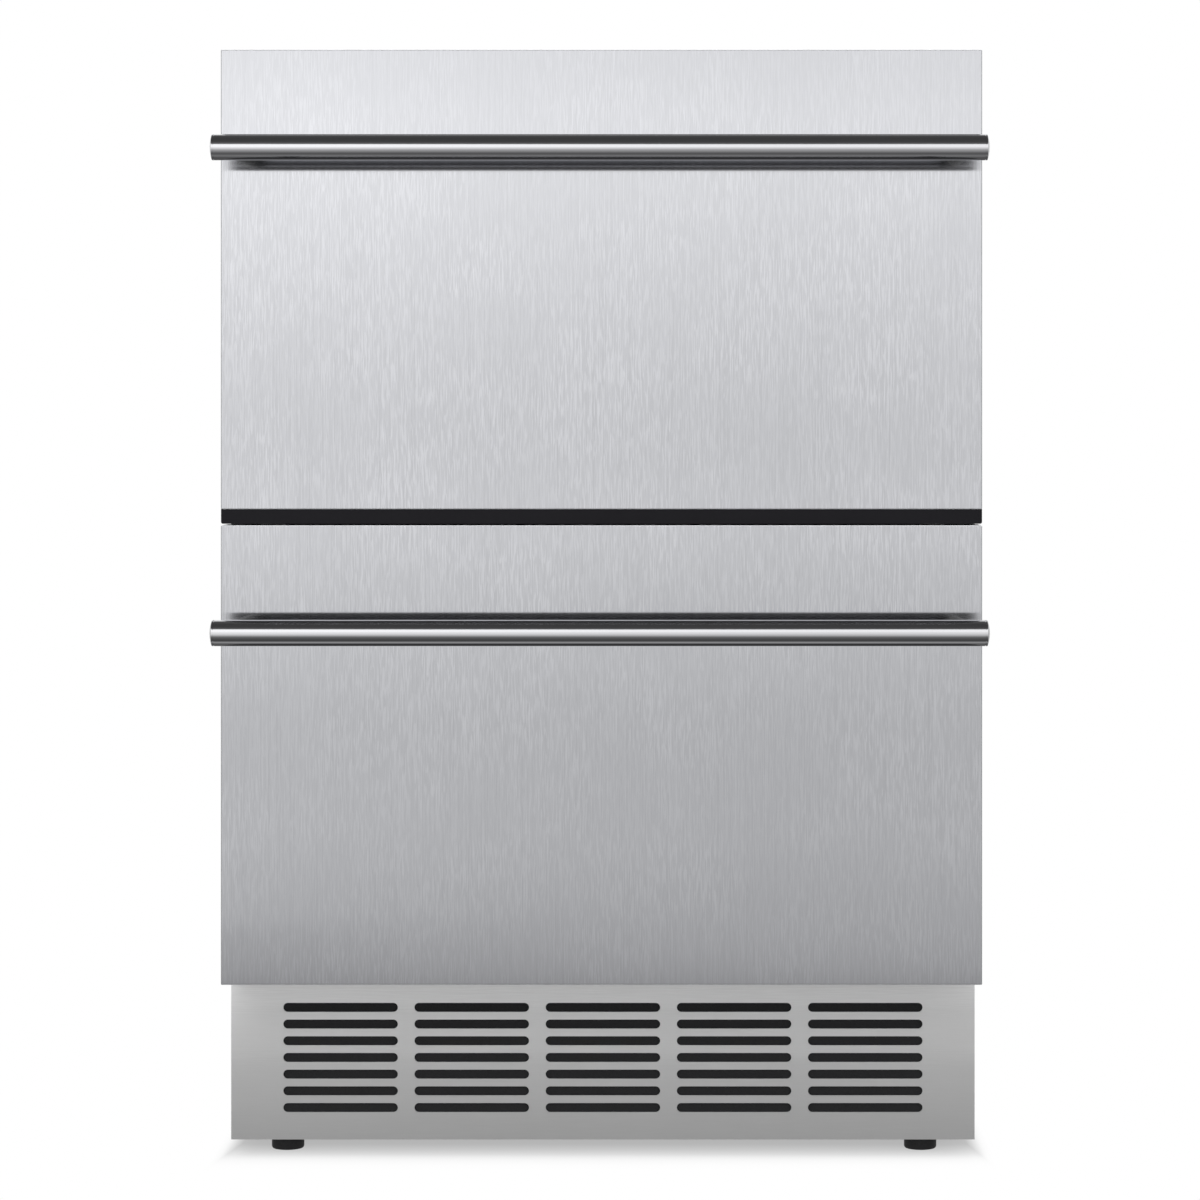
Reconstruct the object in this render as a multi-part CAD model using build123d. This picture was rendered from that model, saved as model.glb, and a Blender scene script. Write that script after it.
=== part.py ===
from build123d import *
import os
from math import cos, radians, sin

# An under-counter beverage refrigerator with two drawers, in millimetres.
# X runs across, -Y is the front and +Z is up. The origin is on the floor, at the centre of the outline.

# Outline
overall_height = 875.0
cabinet_width = 590.0
cabinet_depth = 525.0
front_overhang = 2.0  # of a front past the cabinet, each side
front_standoff = 50.0  # from the cabinet's front plane to the faces of the drawer fronts
front_base = 145.2  # from the floor to the lower front
front_gap = 12.6  # between the two steel fronts
floor_gap = 15.0  # from the floor to the cabinet

# Handles
handle_diameter = 20.0
handle_overhang = 1.0  # past the front, each end
handle_wall = 1.5
handle_reach = 60.0  # from a front's face to the bar's axis
handle_drop = 80.6  # from a front's top edge to the bar's axis
handle_cap_length = 3.0
handle_cap_dome = 1.8
handle_cap_round = 0.5
handle_groove = 0.6  # between the tube and its cap
handle_plug_length = 12.0
handle_plug_clearance = 0.1
post_diameter = 19.0
post_inset = 22.0  # from the handle's end to a post's axis
stud_diameter = 6.0
stud_length = 24.0  # inside the post
stud_clearance = 0.1
anchor_diameter = 16.0
anchor_thickness = 3.0

# Drawer fronts
skin_sheet = 0.8
skin_bend = 0.8
front_thickness = 40.0
inner_panel_sheet = 2.0
gasket_inset = 8.0
gasket_width = 12.0
gasket_neck = 6.0
gasket_lip = 3.0
gasket_clearance = 0.3
trim_gap = 1.2  # between the black trim and the lower front
trim_wall = 2.0
trim_setback = 1.0
trim_corner = 1.5

# Drawer tubs
tub_sheet = 1.0
tub_rear_gap = 13.5  # from a tub's back to the evaporator's cover
tub_rim = 8.0
tub_clearance = 11.5  # under a tub
upper_tub_headroom = 39.0  # to the ceiling
lower_tub_headroom = 33.0  # to the cross rail
ledge_clearance = 17.0  # between the lower tub and the raised floor behind it
tub_slot_length = 60.0
tub_slot_width = 6.0
tub_slot_pitch = 38.0
tub_slot_columns = 8
tub_slot_drop = 52.0  # from a tub's top edge to the middle of its slots
back_slot_columns = 5
back_slot_rows = 3
back_slot_column_pitch = 75.0
back_slot_row_pitch = 15.0

# Telescopic slides
slide_sheet = 1.2
slide_height = 45.0
slide_thickness = 12.7
slide_play = 0.4
slide_web_gap = 0.8
slide_outer_depth = 9.5
slide_middle_depth = 8.0
slide_rear_gap = 2.5  # from a slide's end to the tub's back
slide_setback = 4.5  # behind the cabinet's front plane
upper_slide_height = 58.0  # from the upper tub's floor to the slides' middle
lower_slide_height = 146.0

# Cabinet sheets
sheet = 1.0
seal_flange = 20.0
top_flange = 25.0
deck_flange = 24.0
rear_flange = 15.0
rear_inset = 2.0
pan_sheet = 1.2
pan_flange = 12.0
sheet_clearance = 0.3
rib_length = 420.0
rib_width = 18.0
rib_height = 1.0
rib_count = 4

# Insulated walls
side_insulation = 40.0
top_insulation = 43.0
back_insulation = 46.5
floor_insulation = 26.5
step_insulation = 28.5
ledge_insulation = 30.0
liner_wall = 2.0
liner_lip_gap = 4.0  # from the lip to the side panels
liner_lip_top_gap = 7.0  # from the lip to the top panel
machine_depth = 220.0
machine_height = 240.0

# Cross rail between the openings
mullion_height = 60.0
mullion_depth = 36.0
mullion_wall = 1.2

# Kick plate
kick_return = 14.0
kick_clearance = 0.5
slot_length = 90.9
slot_width = 7.2
slot_column_pitch = 104.1
slot_row_pitch = 13.25
slot_columns = 5
slot_rows = 7
slot_base = 25.3  # from the plate's bottom edge to the middle of the lowest row

# Dust filter behind the kick plate
filter_depth = 12.0
filter_pad = 6.0
filter_frame = 8.0
filter_rib = 5.0
filter_clearance = 0.3

# Levelling feet
foot_diameter = 26.0
foot_height = 12.0
foot_round = 2.0
foot_nut_diameter = 20.0
foot_nut_clearance = 0.3
foot_stud_diameter = 8.0
foot_stud_clearance = 0.1
foot_stud_length = 32.0  # above the cabinet's base
foot_inset = 40.4  # from the cabinet's side to a foot's axis
foot_front_setback = 45.0  # behind the cabinet's front plane
foot_rear_setback = 40.0  # in front of the cabinet's back
foot_boss_diameter = 16.0
foot_boss_height = 20.0

# Fans
fan_size = 112.0
fan_depth = 26.0
fan_corner = 6.0
duct_wall = 4.0
blade_count = 7
blade_tip_gap = 2.0
blade_thickness = 1.6
blade_root_chord = 17.0
blade_tip_chord = 28.0
blade_root_angle = 48.0
blade_tip_angle = 26.0
hub_radius = 18.0
hub_depth = 15.0
hub_setback = 4.0
motor_radius = 17.0
motor_depth = 6.0
strut_width = 5.0
axle_radius = 2.5
axle_length = 12.0
axle_clearance = 0.08

# Evaporator
evaporator_space = 57.0  # from its cover to the liner's back wall
cover_side_gap = 17.0  # from its cover to the liner's sides
cover_sheet = 2.0
cover_floor_gap = 20.0
cover_top_gap = 10.5
grille_slot_width = 5.0
grille_slot_pitch = 10.0
grille_edge = 20.0  # least length of a slot in the round grille
intake_rise = 30.0  # from the cover's lower edge to the middle of its intake
intake_slot_length = 112.0
intake_columns = 3
intake_rows = 3
intake_column_pitch = 134.4
coil_tube_radius = 4.0
coil_fin_sheet = 0.6
coil_fin_pitch = 15.0
coil_fin_margin = 9.0
coil_row_pitch = 20.0
coil_straight = 1.0  # half the straight length between two bends
evaporator_side_gap = 40.0  # to the ends of its cover
evaporator_fins = 40.0
evaporator_setback = 7.0  # behind its cover
evaporator_rise = 12.0  # above the cover's lower edge
fan_drop = 8.0  # from the cover's upper edge to the fan's frame
fan_coil_gap = 6.0  # least gap from the coil's fins up to the fan

# Lamp and controls
light_length = 340.0
light_width = 24.0
light_height = 8.0
light_setback = 122.0
control_width = 210.0
control_height = 25.0
control_depth = 50.0
control_wall = 2.0
control_setback = 12.5
control_round = 3.0
window_width = 62.0
window_height = 13.0
window_offset = 55.0
button_width = 14.0
button_height = 9.0
button_proud = 1.2
button_depth = 5.0
button_clearance = 0.3
button_flange = 1.2
button_flange_sheet = 1.0
button_pitch = 30.0
button_offset = 28.0
button_round = 1.0

# Refrigeration machine
compressor_radius = 68.0
compressor_height = 168.0
compressor_dome = 26.0
compressor_seam = 3.0
compressor_seam_height = 6.0
compressor_side_gap = 62.0
compressor_back_gap = 18.0
plate_length = 200.0
plate_width = 120.0
plate_sheet = 3.0
plate_corner = 14.0
grommet_radius = 11.0
grommet_height = 16.0
grommet_inset = 16.0
terminal_width = 60.0
terminal_height = 70.0
terminal_depth = 16.0
pipe_radius = 3.0
pipe_bend = 18.0
stub_length = 22.0
stub_spacing = 80.0
stub_height = 88.0  # above the machine's floor
drier_radius = 9.0
drier_length = 96.0
drier_offset = 36.0  # from the compressor's stubs
pipe_lane_gap = 36.0  # from the condenser's bends to the delivery pipe's long run
condenser_pipe_gap = 90.0  # from the condenser's fins to the compressor's stubs
condenser_rows = 5
condenser_fins = 44.0
condenser_side_gap = 62.0
condenser_setback = 22.0  # behind the kick plate
condenser_rise = 16.0
fan_setback = 5.0  # behind the condenser
drain_pan_width = 190.0
drain_pan_depth = 140.0
drain_pan_height = 36.0
drain_pan_wall = 2.0
drain_pan_side_gap = 24.0
drain_pan_step_gap = 20.0

# Electrical parts
box_width = 88.0
box_height = 80.0
box_depth = 66.0
box_rise = 105.0  # above the base pan
box_round = 3.0
inlet_width = 28.0
inlet_height = 21.0
inlet_flange = 4.0
inlet_flange_sheet = 1.4
inlet_length = 24.0
inlet_wall = 2.2
inlet_recess = 18.0
inlet_pin_width = 2.0
inlet_pin_height = 4.0
inlet_pin_length = 13.0
inlet_pin_spacing = 7.0
inlet_pin_rise = 2.0
inlet_clearance = 0.2

# Rear cover and screws
louvre_length = 150.0
louvre_width = 6.0
louvre_pitch = 14.0
louvre_rows = 9
louvre_offset = 92.0
screw_radius = 1.6
screw_clearance = 0.1
screw_length = 8.0
screw_head_radius = 3.6
screw_head_height = 1.6
screw_head_round = 0.8
screw_margin = 24.0
cover_screw_rows = 3
back_screw_rows = 4

# Planes and spans that follow from the sizes above
cabinet_back = (handle_reach + handle_diameter / 2 + front_standoff + cabinet_depth) / 2
cabinet_front = cabinet_back - cabinet_depth
front_face = cabinet_front - front_standoff
front_back = front_face + front_thickness
cabinet_half = cabinet_width / 2
shell_half = cabinet_half - sheet
shell_top = overall_height - sheet
back_outer = cabinet_back - rear_inset
back_inner = back_outer - sheet
foam_back = back_inner - sheet

front_width = cabinet_width + 2 * front_overhang
front_height = (overall_height - front_base - front_gap) / 2
lower_front_base = front_base
upper_front_base = overall_height - front_height
handle_length = front_width + 2 * handle_overhang
post_spacing = handle_length - 2 * post_inset

kick_top = front_base - 2 * kick_clearance - sheet
deck_base = kick_top + kick_clearance
step_wall = foam_back - machine_depth
ledge_base = floor_gap + machine_height

cavity_half = shell_half - side_insulation - liner_wall
cavity_top = shell_top - top_insulation - liner_wall
cavity_back = foam_back - back_insulation - liner_wall
cavity_floor = deck_base + sheet + floor_insulation + liner_wall
cavity_step = step_wall - step_insulation - liner_wall
cavity_ledge = ledge_base + sheet + ledge_insulation + liner_wall

mullion_middle = front_base + front_height + front_gap / 2
mullion_base = mullion_middle - mullion_height / 2
mullion_top = mullion_middle + mullion_height / 2

cover_front = cavity_back - evaporator_space
cover_base = mullion_top + cover_floor_gap
cover_top = cavity_top - cover_top_gap
cover_half = cavity_half - cover_side_gap

tub_half = cavity_half - slide_thickness
tub_back = cover_front - tub_rear_gap
tub_middle = (front_back + tub_back) / 2
upper_tub_floor = mullion_top + tub_clearance
upper_tub_top = cavity_top - upper_tub_headroom
lower_tub_floor = cavity_floor + tub_clearance
lower_tub_top = mullion_base - lower_tub_headroom
lower_tub_ledge = cavity_ledge + ledge_clearance
lower_tub_step = cavity_step - tub_clearance

slide_front = cabinet_front + slide_setback
slide_span = (slide_front, tub_back - slide_rear_gap)
upper_slide_middle = upper_tub_floor + upper_slide_height
lower_slide_middle = lower_tub_floor + lower_slide_height

duct_radius = fan_size / 2 - duct_wall

pan_top = floor_gap + pan_sheet
pan_front = cabinet_front + sheet + kick_return + kick_clearance


def block(x_span, y_span, z_span):
    """A box between two values on each axis."""
    spans = (x_span, y_span, z_span)
    size = [high - low for low, high in spans]
    middle = [(low + high) / 2 for low, high in spans]
    return Pos(*middle) * Box(*size)


def centred(size, middle=0.0):
    """The two ends of a length about its middle."""
    return (middle - size / 2, middle + size / 2)


def rod_x(radius, x_span, y, z):
    """A cylinder along X."""
    return Pos(sum(x_span) / 2, y, z) * Rot(0, 90, 0) * Cylinder(radius, x_span[1] - x_span[0])


def rod_y(radius, x, y_span, z):
    """A cylinder along Y."""
    return Pos(x, sum(y_span) / 2, z) * Rot(90, 0, 0) * Cylinder(radius, y_span[1] - y_span[0])


def rod_z(radius, x, y, z_span):
    """A cylinder along Z."""
    return Pos(x, y, sum(z_span) / 2) * Cylinder(radius, z_span[1] - z_span[0])


def group(shapes):
    """Separate solids that share one node."""
    return Compound([solid for shape in shapes for solid in shape.solids()])


def pair(shape):
    """A solid and its mirror image on the other side."""
    return group([shape, mirror(shape, about=Plane.YZ)])


def stepped(half_width, y_span, step, z_span, ledge):
    """A block whose back is raised: behind step it starts at ledge."""
    x_span = (-half_width, half_width)
    front = block(x_span, (y_span[0], step), z_span)
    return front + block(x_span, y_span, (ledge, z_span[1]))


def slot_cutter(x, y_span, z, length, width, columns, rows, column_pitch, row_pitch):
    """Round-ended slots along X, in columns and rows about a middle, cut along Y."""
    plane = Plane(origin=(x, y_span[1], z), x_dir=(1, 0, 0), z_dir=(0, -1, 0))
    places = GridLocations(column_pitch, row_pitch, columns, rows)
    slots = Sketch() + [place * SlotOverall(length, width) for place in places]
    return extrude(plane * slots, amount=y_span[1] - y_span[0])


def front_spans(base):
    """The X and Z spans of a drawer front whose lower edge is at base."""
    return centred(front_width), (base, base + front_height)


def inset(span, distance):
    """A span with both its ends moved inwards."""
    return (span[0] + distance, span[1] - distance)


def handle_axis(base):
    """The Y and Z of the bar of the front whose lower edge is at base."""
    return front_face - handle_reach, base + front_height - handle_drop


def post_places():
    """The X of each handle post."""
    return centred(post_spacing)


def drawer_skin(base):
    """The folded steel front, open at the back."""
    x_span, z_span = front_spans(base)
    outer = block(x_span, (front_face, front_back), z_span)
    folds = outer.edges().filter_by(lambda edge: edge.center().Y < front_back - skin_bend)
    outer = fillet(folds, skin_bend)
    y_span = (front_face + skin_sheet, front_back)
    skin = outer - block(inset(x_span, skin_sheet), y_span, inset(z_span, skin_sheet))
    for x in post_places():
        hole_span = (front_face, front_face + skin_sheet)
        skin -= rod_y(stud_diameter / 2 + stud_clearance, x, hole_span, handle_axis(base)[1])
    return skin


def drawer_foam(base):
    """The insulation inside a front, cut out round the handle's anchors."""
    x_span, z_span = front_spans(base)
    y_span = (front_face + skin_sheet, front_back - inner_panel_sheet)
    foam = block(inset(x_span, skin_sheet), y_span, inset(z_span, skin_sheet))
    for x in post_places():
        anchor_span = (y_span[0], y_span[0] + anchor_thickness)
        foam -= rod_y(anchor_diameter / 2, x, anchor_span, handle_axis(base)[1])
    return foam


def drawer_inner_panel(base):
    """The plastic panel that closes a front's back."""
    x_span, z_span = front_spans(base)
    y_span = (front_back - inner_panel_sheet, front_back)
    return block(inset(x_span, skin_sheet), y_span, inset(z_span, skin_sheet))


def gasket_ring(base, extra_inset, width, y_span):
    """One layer of a front's gasket."""
    x_span, z_span = front_spans(base)
    outside = gasket_inset + extra_inset
    outer = block(inset(x_span, outside), y_span, inset(z_span, outside))
    return outer - block(inset(x_span, outside + width), y_span, inset(z_span, outside + width))


def drawer_gasket(base):
    """The magnetic gasket: a base, a narrow bellows and a head."""
    head_back = cabinet_front - gasket_clearance
    neck_inset = (gasket_width - gasket_neck) / 2
    foot = gasket_ring(base, 0, gasket_width, (front_back, front_back + gasket_lip))
    neck = gasket_ring(base, neck_inset, gasket_neck, (front_back, head_back))
    head = gasket_ring(base, 0, gasket_width, (head_back - gasket_lip, head_back))
    return foot + neck + head


def handle_bar(base):
    """The straight tube of a handle."""
    y, z = handle_axis(base)
    x_span = centred(handle_length - 2 * (handle_cap_length + handle_groove))
    tube = rod_x(handle_diameter / 2, x_span, y, z)
    return tube - rod_x(handle_diameter / 2 - handle_wall, x_span, y, z)


def handle_end_caps(base):
    """The two domed caps that plug the tube, each with a shoulder that leaves a groove."""
    y, z = handle_axis(base)
    end = handle_length / 2
    head_start = end - handle_cap_length
    radius = handle_diameter / 2
    dome_radius = (radius ** 2 + handle_cap_dome ** 2) / (2 * handle_cap_dome)
    head = rod_x(radius, (head_start, end), y, z)
    head &= Pos(end - dome_radius, y, z) * Rot(0, 0, 180) * Sphere(dome_radius)
    rim = head.edges().filter_by(GeomType.CIRCLE).sort_by(Axis.X)[-1]
    head = fillet(rim, handle_cap_round)
    shoulder_radius = radius - handle_groove
    shoulder = rod_x(shoulder_radius, (head_start - handle_groove, head_start), y, z)
    plug_radius = radius - handle_wall - handle_plug_clearance
    plug = rod_x(plug_radius, (head_start - handle_plug_length, head_start), y, z)
    return pair(head + shoulder + plug)


def handle_posts(base):
    """The two round posts, cut to the bar at one end and bored for their studs at the other."""
    y, z = handle_axis(base)
    saddle = rod_x(handle_diameter / 2, centred(handle_length), y, z)
    posts = []
    for x in post_places():
        post = rod_y(post_diameter / 2, x, (y, front_face), z) - saddle
        bore_span = (front_face - stud_length, front_face)
        posts.append(post - rod_y(stud_diameter / 2 + stud_clearance, x, bore_span, z))
    return group(posts)


def handle_studs(base):
    """The studs that hold the posts, on round anchors behind the skin."""
    z = handle_axis(base)[1]
    anchor_front = front_face + skin_sheet
    studs = []
    for x in post_places():
        anchor = rod_y(anchor_diameter / 2, x, (anchor_front, anchor_front + anchor_thickness), z)
        studs.append(anchor + rod_y(stud_diameter / 2, x, (front_face - stud_length, anchor_front), z))
    return group(studs)


def upper_drawer_trim():
    """The black moulding under the upper front, hollow from above."""
    height = front_gap - trim_gap
    x_span = centred(front_width)
    y_span = (front_face + trim_setback, front_back)
    z_span = (upper_front_base - height, upper_front_base)
    outer = block(x_span, y_span, z_span)
    corners = outer.edges().filter_by(Axis.Y).group_by(Axis.Z)[0]
    outer = fillet(corners, trim_corner)
    hollow = block(inset(x_span, trim_wall), inset(y_span, trim_wall), (z_span[0] + trim_wall, z_span[1]))
    return outer - hollow


def tub_slots(top):
    """The air slots near the top of a tub: upright in its sides, lying in its back."""
    middle = top - tub_slot_drop
    first = tub_middle - tub_slot_pitch * (tub_slot_columns - 1) / 2
    slots = []
    for column in range(tub_slot_columns):
        y = first + column * tub_slot_pitch
        ends = inset(centred(tub_slot_length, middle), tub_slot_width / 2)
        across = centred(2 * tub_half + tub_rim)
        slots.append(block(across, centred(tub_slot_width, y), ends))
        for z in ends:
            slots.append(rod_x(tub_slot_width / 2, across, y, z))
    back_span = (tub_back - 2 * tub_sheet, tub_back + tub_sheet)
    back = slot_cutter(0, back_span, middle, tub_slot_length, tub_slot_width, back_slot_columns,
                       back_slot_rows, back_slot_column_pitch, back_slot_row_pitch)
    return slots + [back]


def drawer_tub(floor, top, step, ledge):
    """A sheet steel tub, open above, with an outward rim; its back part may be shallower."""
    walls = (front_back, tub_back)
    outer = stepped(tub_half, walls, step, (floor, top), ledge)
    inside = inset(walls, tub_sheet)
    heights = (floor + tub_sheet, top)
    hollow = stepped(tub_half - tub_sheet, inside, step - tub_sheet, heights, ledge + tub_sheet)
    rim_height = (top - tub_sheet, top)
    rim = block(centred(2 * (tub_half + tub_rim)), (front_back, tub_back + tub_rim), rim_height)
    rim -= block(centred(2 * tub_half), walls, rim_height)
    tub = outer - hollow + rim
    for slot in tub_slots(top):
        tub -= slot
    return tub


def channel(web_span, depth_end, half_height, y_span, middle):
    """A C-shaped rail on the right side: a web and two flanges that reach to depth_end."""
    heights = centred(2 * half_height, middle)
    reach = (min(web_span[0], depth_end), max(web_span[1], depth_end))
    rail = block(web_span, y_span, heights)
    rail += block(reach, y_span, (heights[0], heights[0] + slide_sheet))
    rail += block(reach, y_span, (heights[1] - slide_sheet, heights[1]))
    return rail


def slides_outer(middle):
    """The fixed rails on the liner's sides."""
    web = (cavity_half - slide_sheet, cavity_half)
    return pair(channel(web, cavity_half - slide_outer_depth, slide_height / 2, slide_span, middle))


def slides_middle(middle):
    """The rails that travel half as far as the drawer."""
    web_end = cavity_half - slide_sheet - slide_web_gap
    web = (web_end - slide_sheet, web_end)
    half_height = slide_height / 2 - slide_sheet - slide_play
    return pair(channel(web, web_end - slide_middle_depth, half_height, slide_span, middle))


def slides_inner(middle):
    """The rails on the tub's sides."""
    web = (tub_half, tub_half + slide_sheet)
    depth_end = cavity_half - 2 * (slide_sheet + slide_web_gap)
    half_height = slide_height / 2 - 2 * (slide_sheet + slide_play)
    return pair(channel(web, depth_end, half_height, slide_span, middle))


def screw_places(z_span, rows):
    """Screws up both sides of the back, evenly between two heights."""
    low, high = inset(z_span, screw_margin)
    heights = [low + row * (high - low) / (rows - 1) for row in range(rows)]
    x = shell_half - rear_flange / 2
    return [(side * x, z) for side in (-1, 1) for z in heights]


def rear_screw_places():
    """Every screw of the rear cover and the back panel."""
    cover = screw_places((floor_gap, ledge_base), cover_screw_rows)
    return cover + screw_places((ledge_base, shell_top), back_screw_rows)


def screw_holes():
    """The holes for the screws, through the sheet and the flange, and into the foam behind them."""
    y_span = (back_outer - screw_length - sheet, back_outer)
    return [rod_y(screw_radius + screw_clearance, x, y_span, z) for x, z in rear_screw_places()]


def panel_screws():
    """The screws that hold the back panel and the rear cover."""
    screws = []
    for x, z in rear_screw_places():
        head = rod_y(screw_head_radius, x, (back_outer, back_outer + screw_head_height), z)
        head = fillet(head.edges().group_by(Axis.Y)[-1], screw_head_round)
        screws.append(head + rod_y(screw_radius, x, (back_outer - screw_length, back_outer), z))
    return group(screws)


def cabinet_sides():
    """The two painted side panels with their front and rear flanges."""
    y_span = (cabinet_front, cabinet_back)
    side = block((shell_half, cabinet_half), y_span, (floor_gap, shell_top))
    notch_span = (cabinet_front, cabinet_front + sheet + sheet_clearance)
    side -= block((shell_half, cabinet_half), notch_span, (floor_gap, deck_base))
    front_span = (cabinet_front, cabinet_front + sheet)
    side += block((shell_half - seal_flange, shell_half), front_span, (deck_base, shell_top - top_flange))
    side += block((shell_half - rear_flange, shell_half), (foam_back, back_inner), (floor_gap, shell_top))
    sides = [side, mirror(side, about=Plane.YZ)]
    holes = screw_holes()
    return group([panel - holes for panel in sides])


def cabinet_top():
    """The top panel with a deep front flange and a rear flange."""
    top = block(centred(cabinet_width), (cabinet_front, cabinet_back), (shell_top, overall_height))
    front_span = (cabinet_front, cabinet_front + sheet)
    top += block(centred(2 * shell_half), front_span, (shell_top - top_flange, shell_top))
    rear_width = 2 * (shell_half - rear_flange)
    top += block(centred(rear_width), (foam_back, back_inner), (shell_top - rear_flange, shell_top))
    return top


def cabinet_back_panel():
    """The back panel above the machine compartment, with pressed ribs."""
    width = 2 * (shell_half - sheet_clearance)
    panel = block(centred(width), (back_inner, back_outer), (ledge_base, shell_top))
    rib_pitch = (shell_top - ledge_base) / (rib_count + 1)
    middle = (shell_top + ledge_base) / 2
    ribs = slot_cutter(0, (back_outer, back_outer + rib_height), middle, rib_length, rib_width,
                       1, rib_count, rib_length, rib_pitch)
    for rib in ribs.solids():
        panel += chamfer(rib.faces().sort_by(Axis.Y)[-1].edges(), rib_height / 2)
    return panel - screw_holes()


def inlet_place():
    """The X and Z of the mains inlet."""
    return box_width / 2 - shell_half, pan_top + box_rise + box_height / 2


def rear_cover():
    """The louvred cover of the machine compartment, cut out for the mains inlet."""
    z_span = (floor_gap, ledge_base - sheet_clearance)
    cover = block(centred(2 * (shell_half - sheet_clearance)), (back_inner, back_outer), z_span)
    middle = sum(z_span) / 2
    for x in (-louvre_offset, louvre_offset):
        cover -= slot_cutter(x, (back_inner, back_outer), middle, louvre_length, louvre_width,
                             1, louvre_rows, louvre_length, louvre_pitch)
    x, z = inlet_place()
    opening = (inlet_width + 2 * inlet_clearance, inlet_height + 2 * inlet_clearance)
    cover -= block(centred(opening[0], x), (back_inner, back_outer), centred(opening[1], z))
    return cover - screw_holes()


def foot_places():
    """The X and Y of each levelling foot, by name."""
    front = cabinet_front + foot_front_setback
    rear = cabinet_back - foot_rear_setback
    left, right = inset(centred(cabinet_width), foot_inset)
    return {
        "foot_front_left": (left, front),
        "foot_front_right": (right, front),
        "foot_rear_left": (left, rear),
        "foot_rear_right": (right, rear),
    }


def base_pan():
    """The machine compartment's floor, with welded bushes for the feet."""
    x_span = centred(2 * shell_half)
    pan = block(x_span, (pan_front, foam_back), (floor_gap, pan_top))
    flange_height = (floor_gap, floor_gap + pan_flange)
    pan += block(x_span, (pan_front, pan_front + pan_sheet), flange_height)
    rear_width = 2 * (shell_half - rear_flange)
    pan += block(centred(rear_width), (foam_back - pan_sheet, foam_back), flange_height)
    for x, y in foot_places().values():
        pan += rod_z(foot_boss_diameter / 2, x, y, (floor_gap, pan_top + foot_boss_height))
    for x, y in foot_places().values():
        bore = foot_stud_diameter / 2 + foot_stud_clearance
        pan -= rod_z(bore, x, y, (floor_gap, pan_top + foot_boss_height))
    return pan


def machine_deck():
    """The stepped sheet between the insulation and the machine compartment."""
    x_span = centred(2 * shell_half)
    deck = block(x_span, (cabinet_front + sheet, step_wall + sheet), (deck_base, deck_base + sheet))
    deck += block(x_span, (step_wall, step_wall + sheet), (deck_base, ledge_base + sheet))
    deck += block(x_span, (step_wall, foam_back), (ledge_base, ledge_base + sheet))
    flange_span = (cabinet_front, cabinet_front + sheet)
    flange_half = shell_half - seal_flange
    deck += block(centred(2 * flange_half), flange_span, (deck_base, deck_base + deck_flange))
    return deck


def kick_plate():
    """The steel kick plate: five columns of seven round-ended slots, with folded edges."""
    y_span = (cabinet_front, cabinet_front + sheet)
    z_span = (floor_gap, kick_top)
    plate = block(centred(cabinet_width), y_span, z_span)
    return_span = (cabinet_front, cabinet_front + sheet + kick_return)
    for edge in ((z_span[0], z_span[0] + sheet), (z_span[1] - sheet, z_span[1])):
        plate += block(centred(2 * shell_half), return_span, edge)
    for side in (-1, 1):
        wall = centred(sheet, side * (shell_half - sheet / 2))
        plate += block(wall, return_span, z_span)
    rows_middle = floor_gap + slot_base + slot_row_pitch * (slot_rows - 1) / 2
    return plate - slot_cutter(0, y_span, rows_middle, slot_length, slot_width,
                               slot_columns, slot_rows, slot_column_pitch, slot_row_pitch)


def intake_filter():
    """The framed dust pad that stands inside the kick plate's folded edges."""
    x_span = inset(centred(2 * shell_half), sheet + filter_clearance)
    z_span = (floor_gap + sheet, kick_top - sheet - filter_clearance)
    front = cabinet_front + sheet + filter_clearance
    frame_span = (front, front + filter_depth)
    frame = block(x_span, frame_span, z_span)
    frame -= block(inset(x_span, filter_frame), frame_span, inset(z_span, filter_frame))
    pad = frame + block(x_span, (front, front + filter_pad), z_span)
    for gap in range(1, slot_columns):
        rib = centred(filter_rib, (gap - slot_columns / 2) * slot_column_pitch)
        pad += block(rib, frame_span, z_span)
    return pad


def cavity(extra, front):
    """The space inside the liner, made larger by extra on every side but the front."""
    return stepped(
        cavity_half + extra,
        (front, cavity_back + extra),
        cavity_step + extra,
        (cavity_floor - extra, cavity_top + extra),
        cavity_ledge - extra,
    )


def liner_lip_block():
    """The liner's flat edge behind the cabinet's front flanges."""
    lip_front = cabinet_front + sheet
    z_span = (deck_base + sheet, shell_top - liner_lip_top_gap)
    return block(centred(2 * (shell_half - liner_lip_gap)), (lip_front, lip_front + liner_wall), z_span)


def inner_liner():
    """The moulded liner: one stepped cavity with a lip round its mouth."""
    lip_front = cabinet_front + sheet
    liner = cavity(liner_wall, lip_front) + liner_lip_block()
    return liner - cavity(0, lip_front)


def insulation_foam():
    """The foam between the liner and the cabinet, stepped over the machine compartment."""
    foam_front = cabinet_front + sheet
    whole = stepped(
        shell_half,
        (foam_front, foam_back),
        step_wall,
        (deck_base + sheet, shell_top),
        ledge_base + sheet,
    )
    foam = whole - cavity(liner_wall, foam_front) - liner_lip_block()
    return foam - screw_holes()


def mullion():
    """The hollow cross rail that both gaskets close on."""
    y_span = (cabinet_front, cabinet_front + mullion_depth)
    z_span = (mullion_base, mullion_top)
    rail = block(centred(2 * cavity_half), y_span, z_span)
    return rail - block(centred(2 * cavity_half), inset(y_span, mullion_wall), inset(z_span, mullion_wall))


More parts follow.
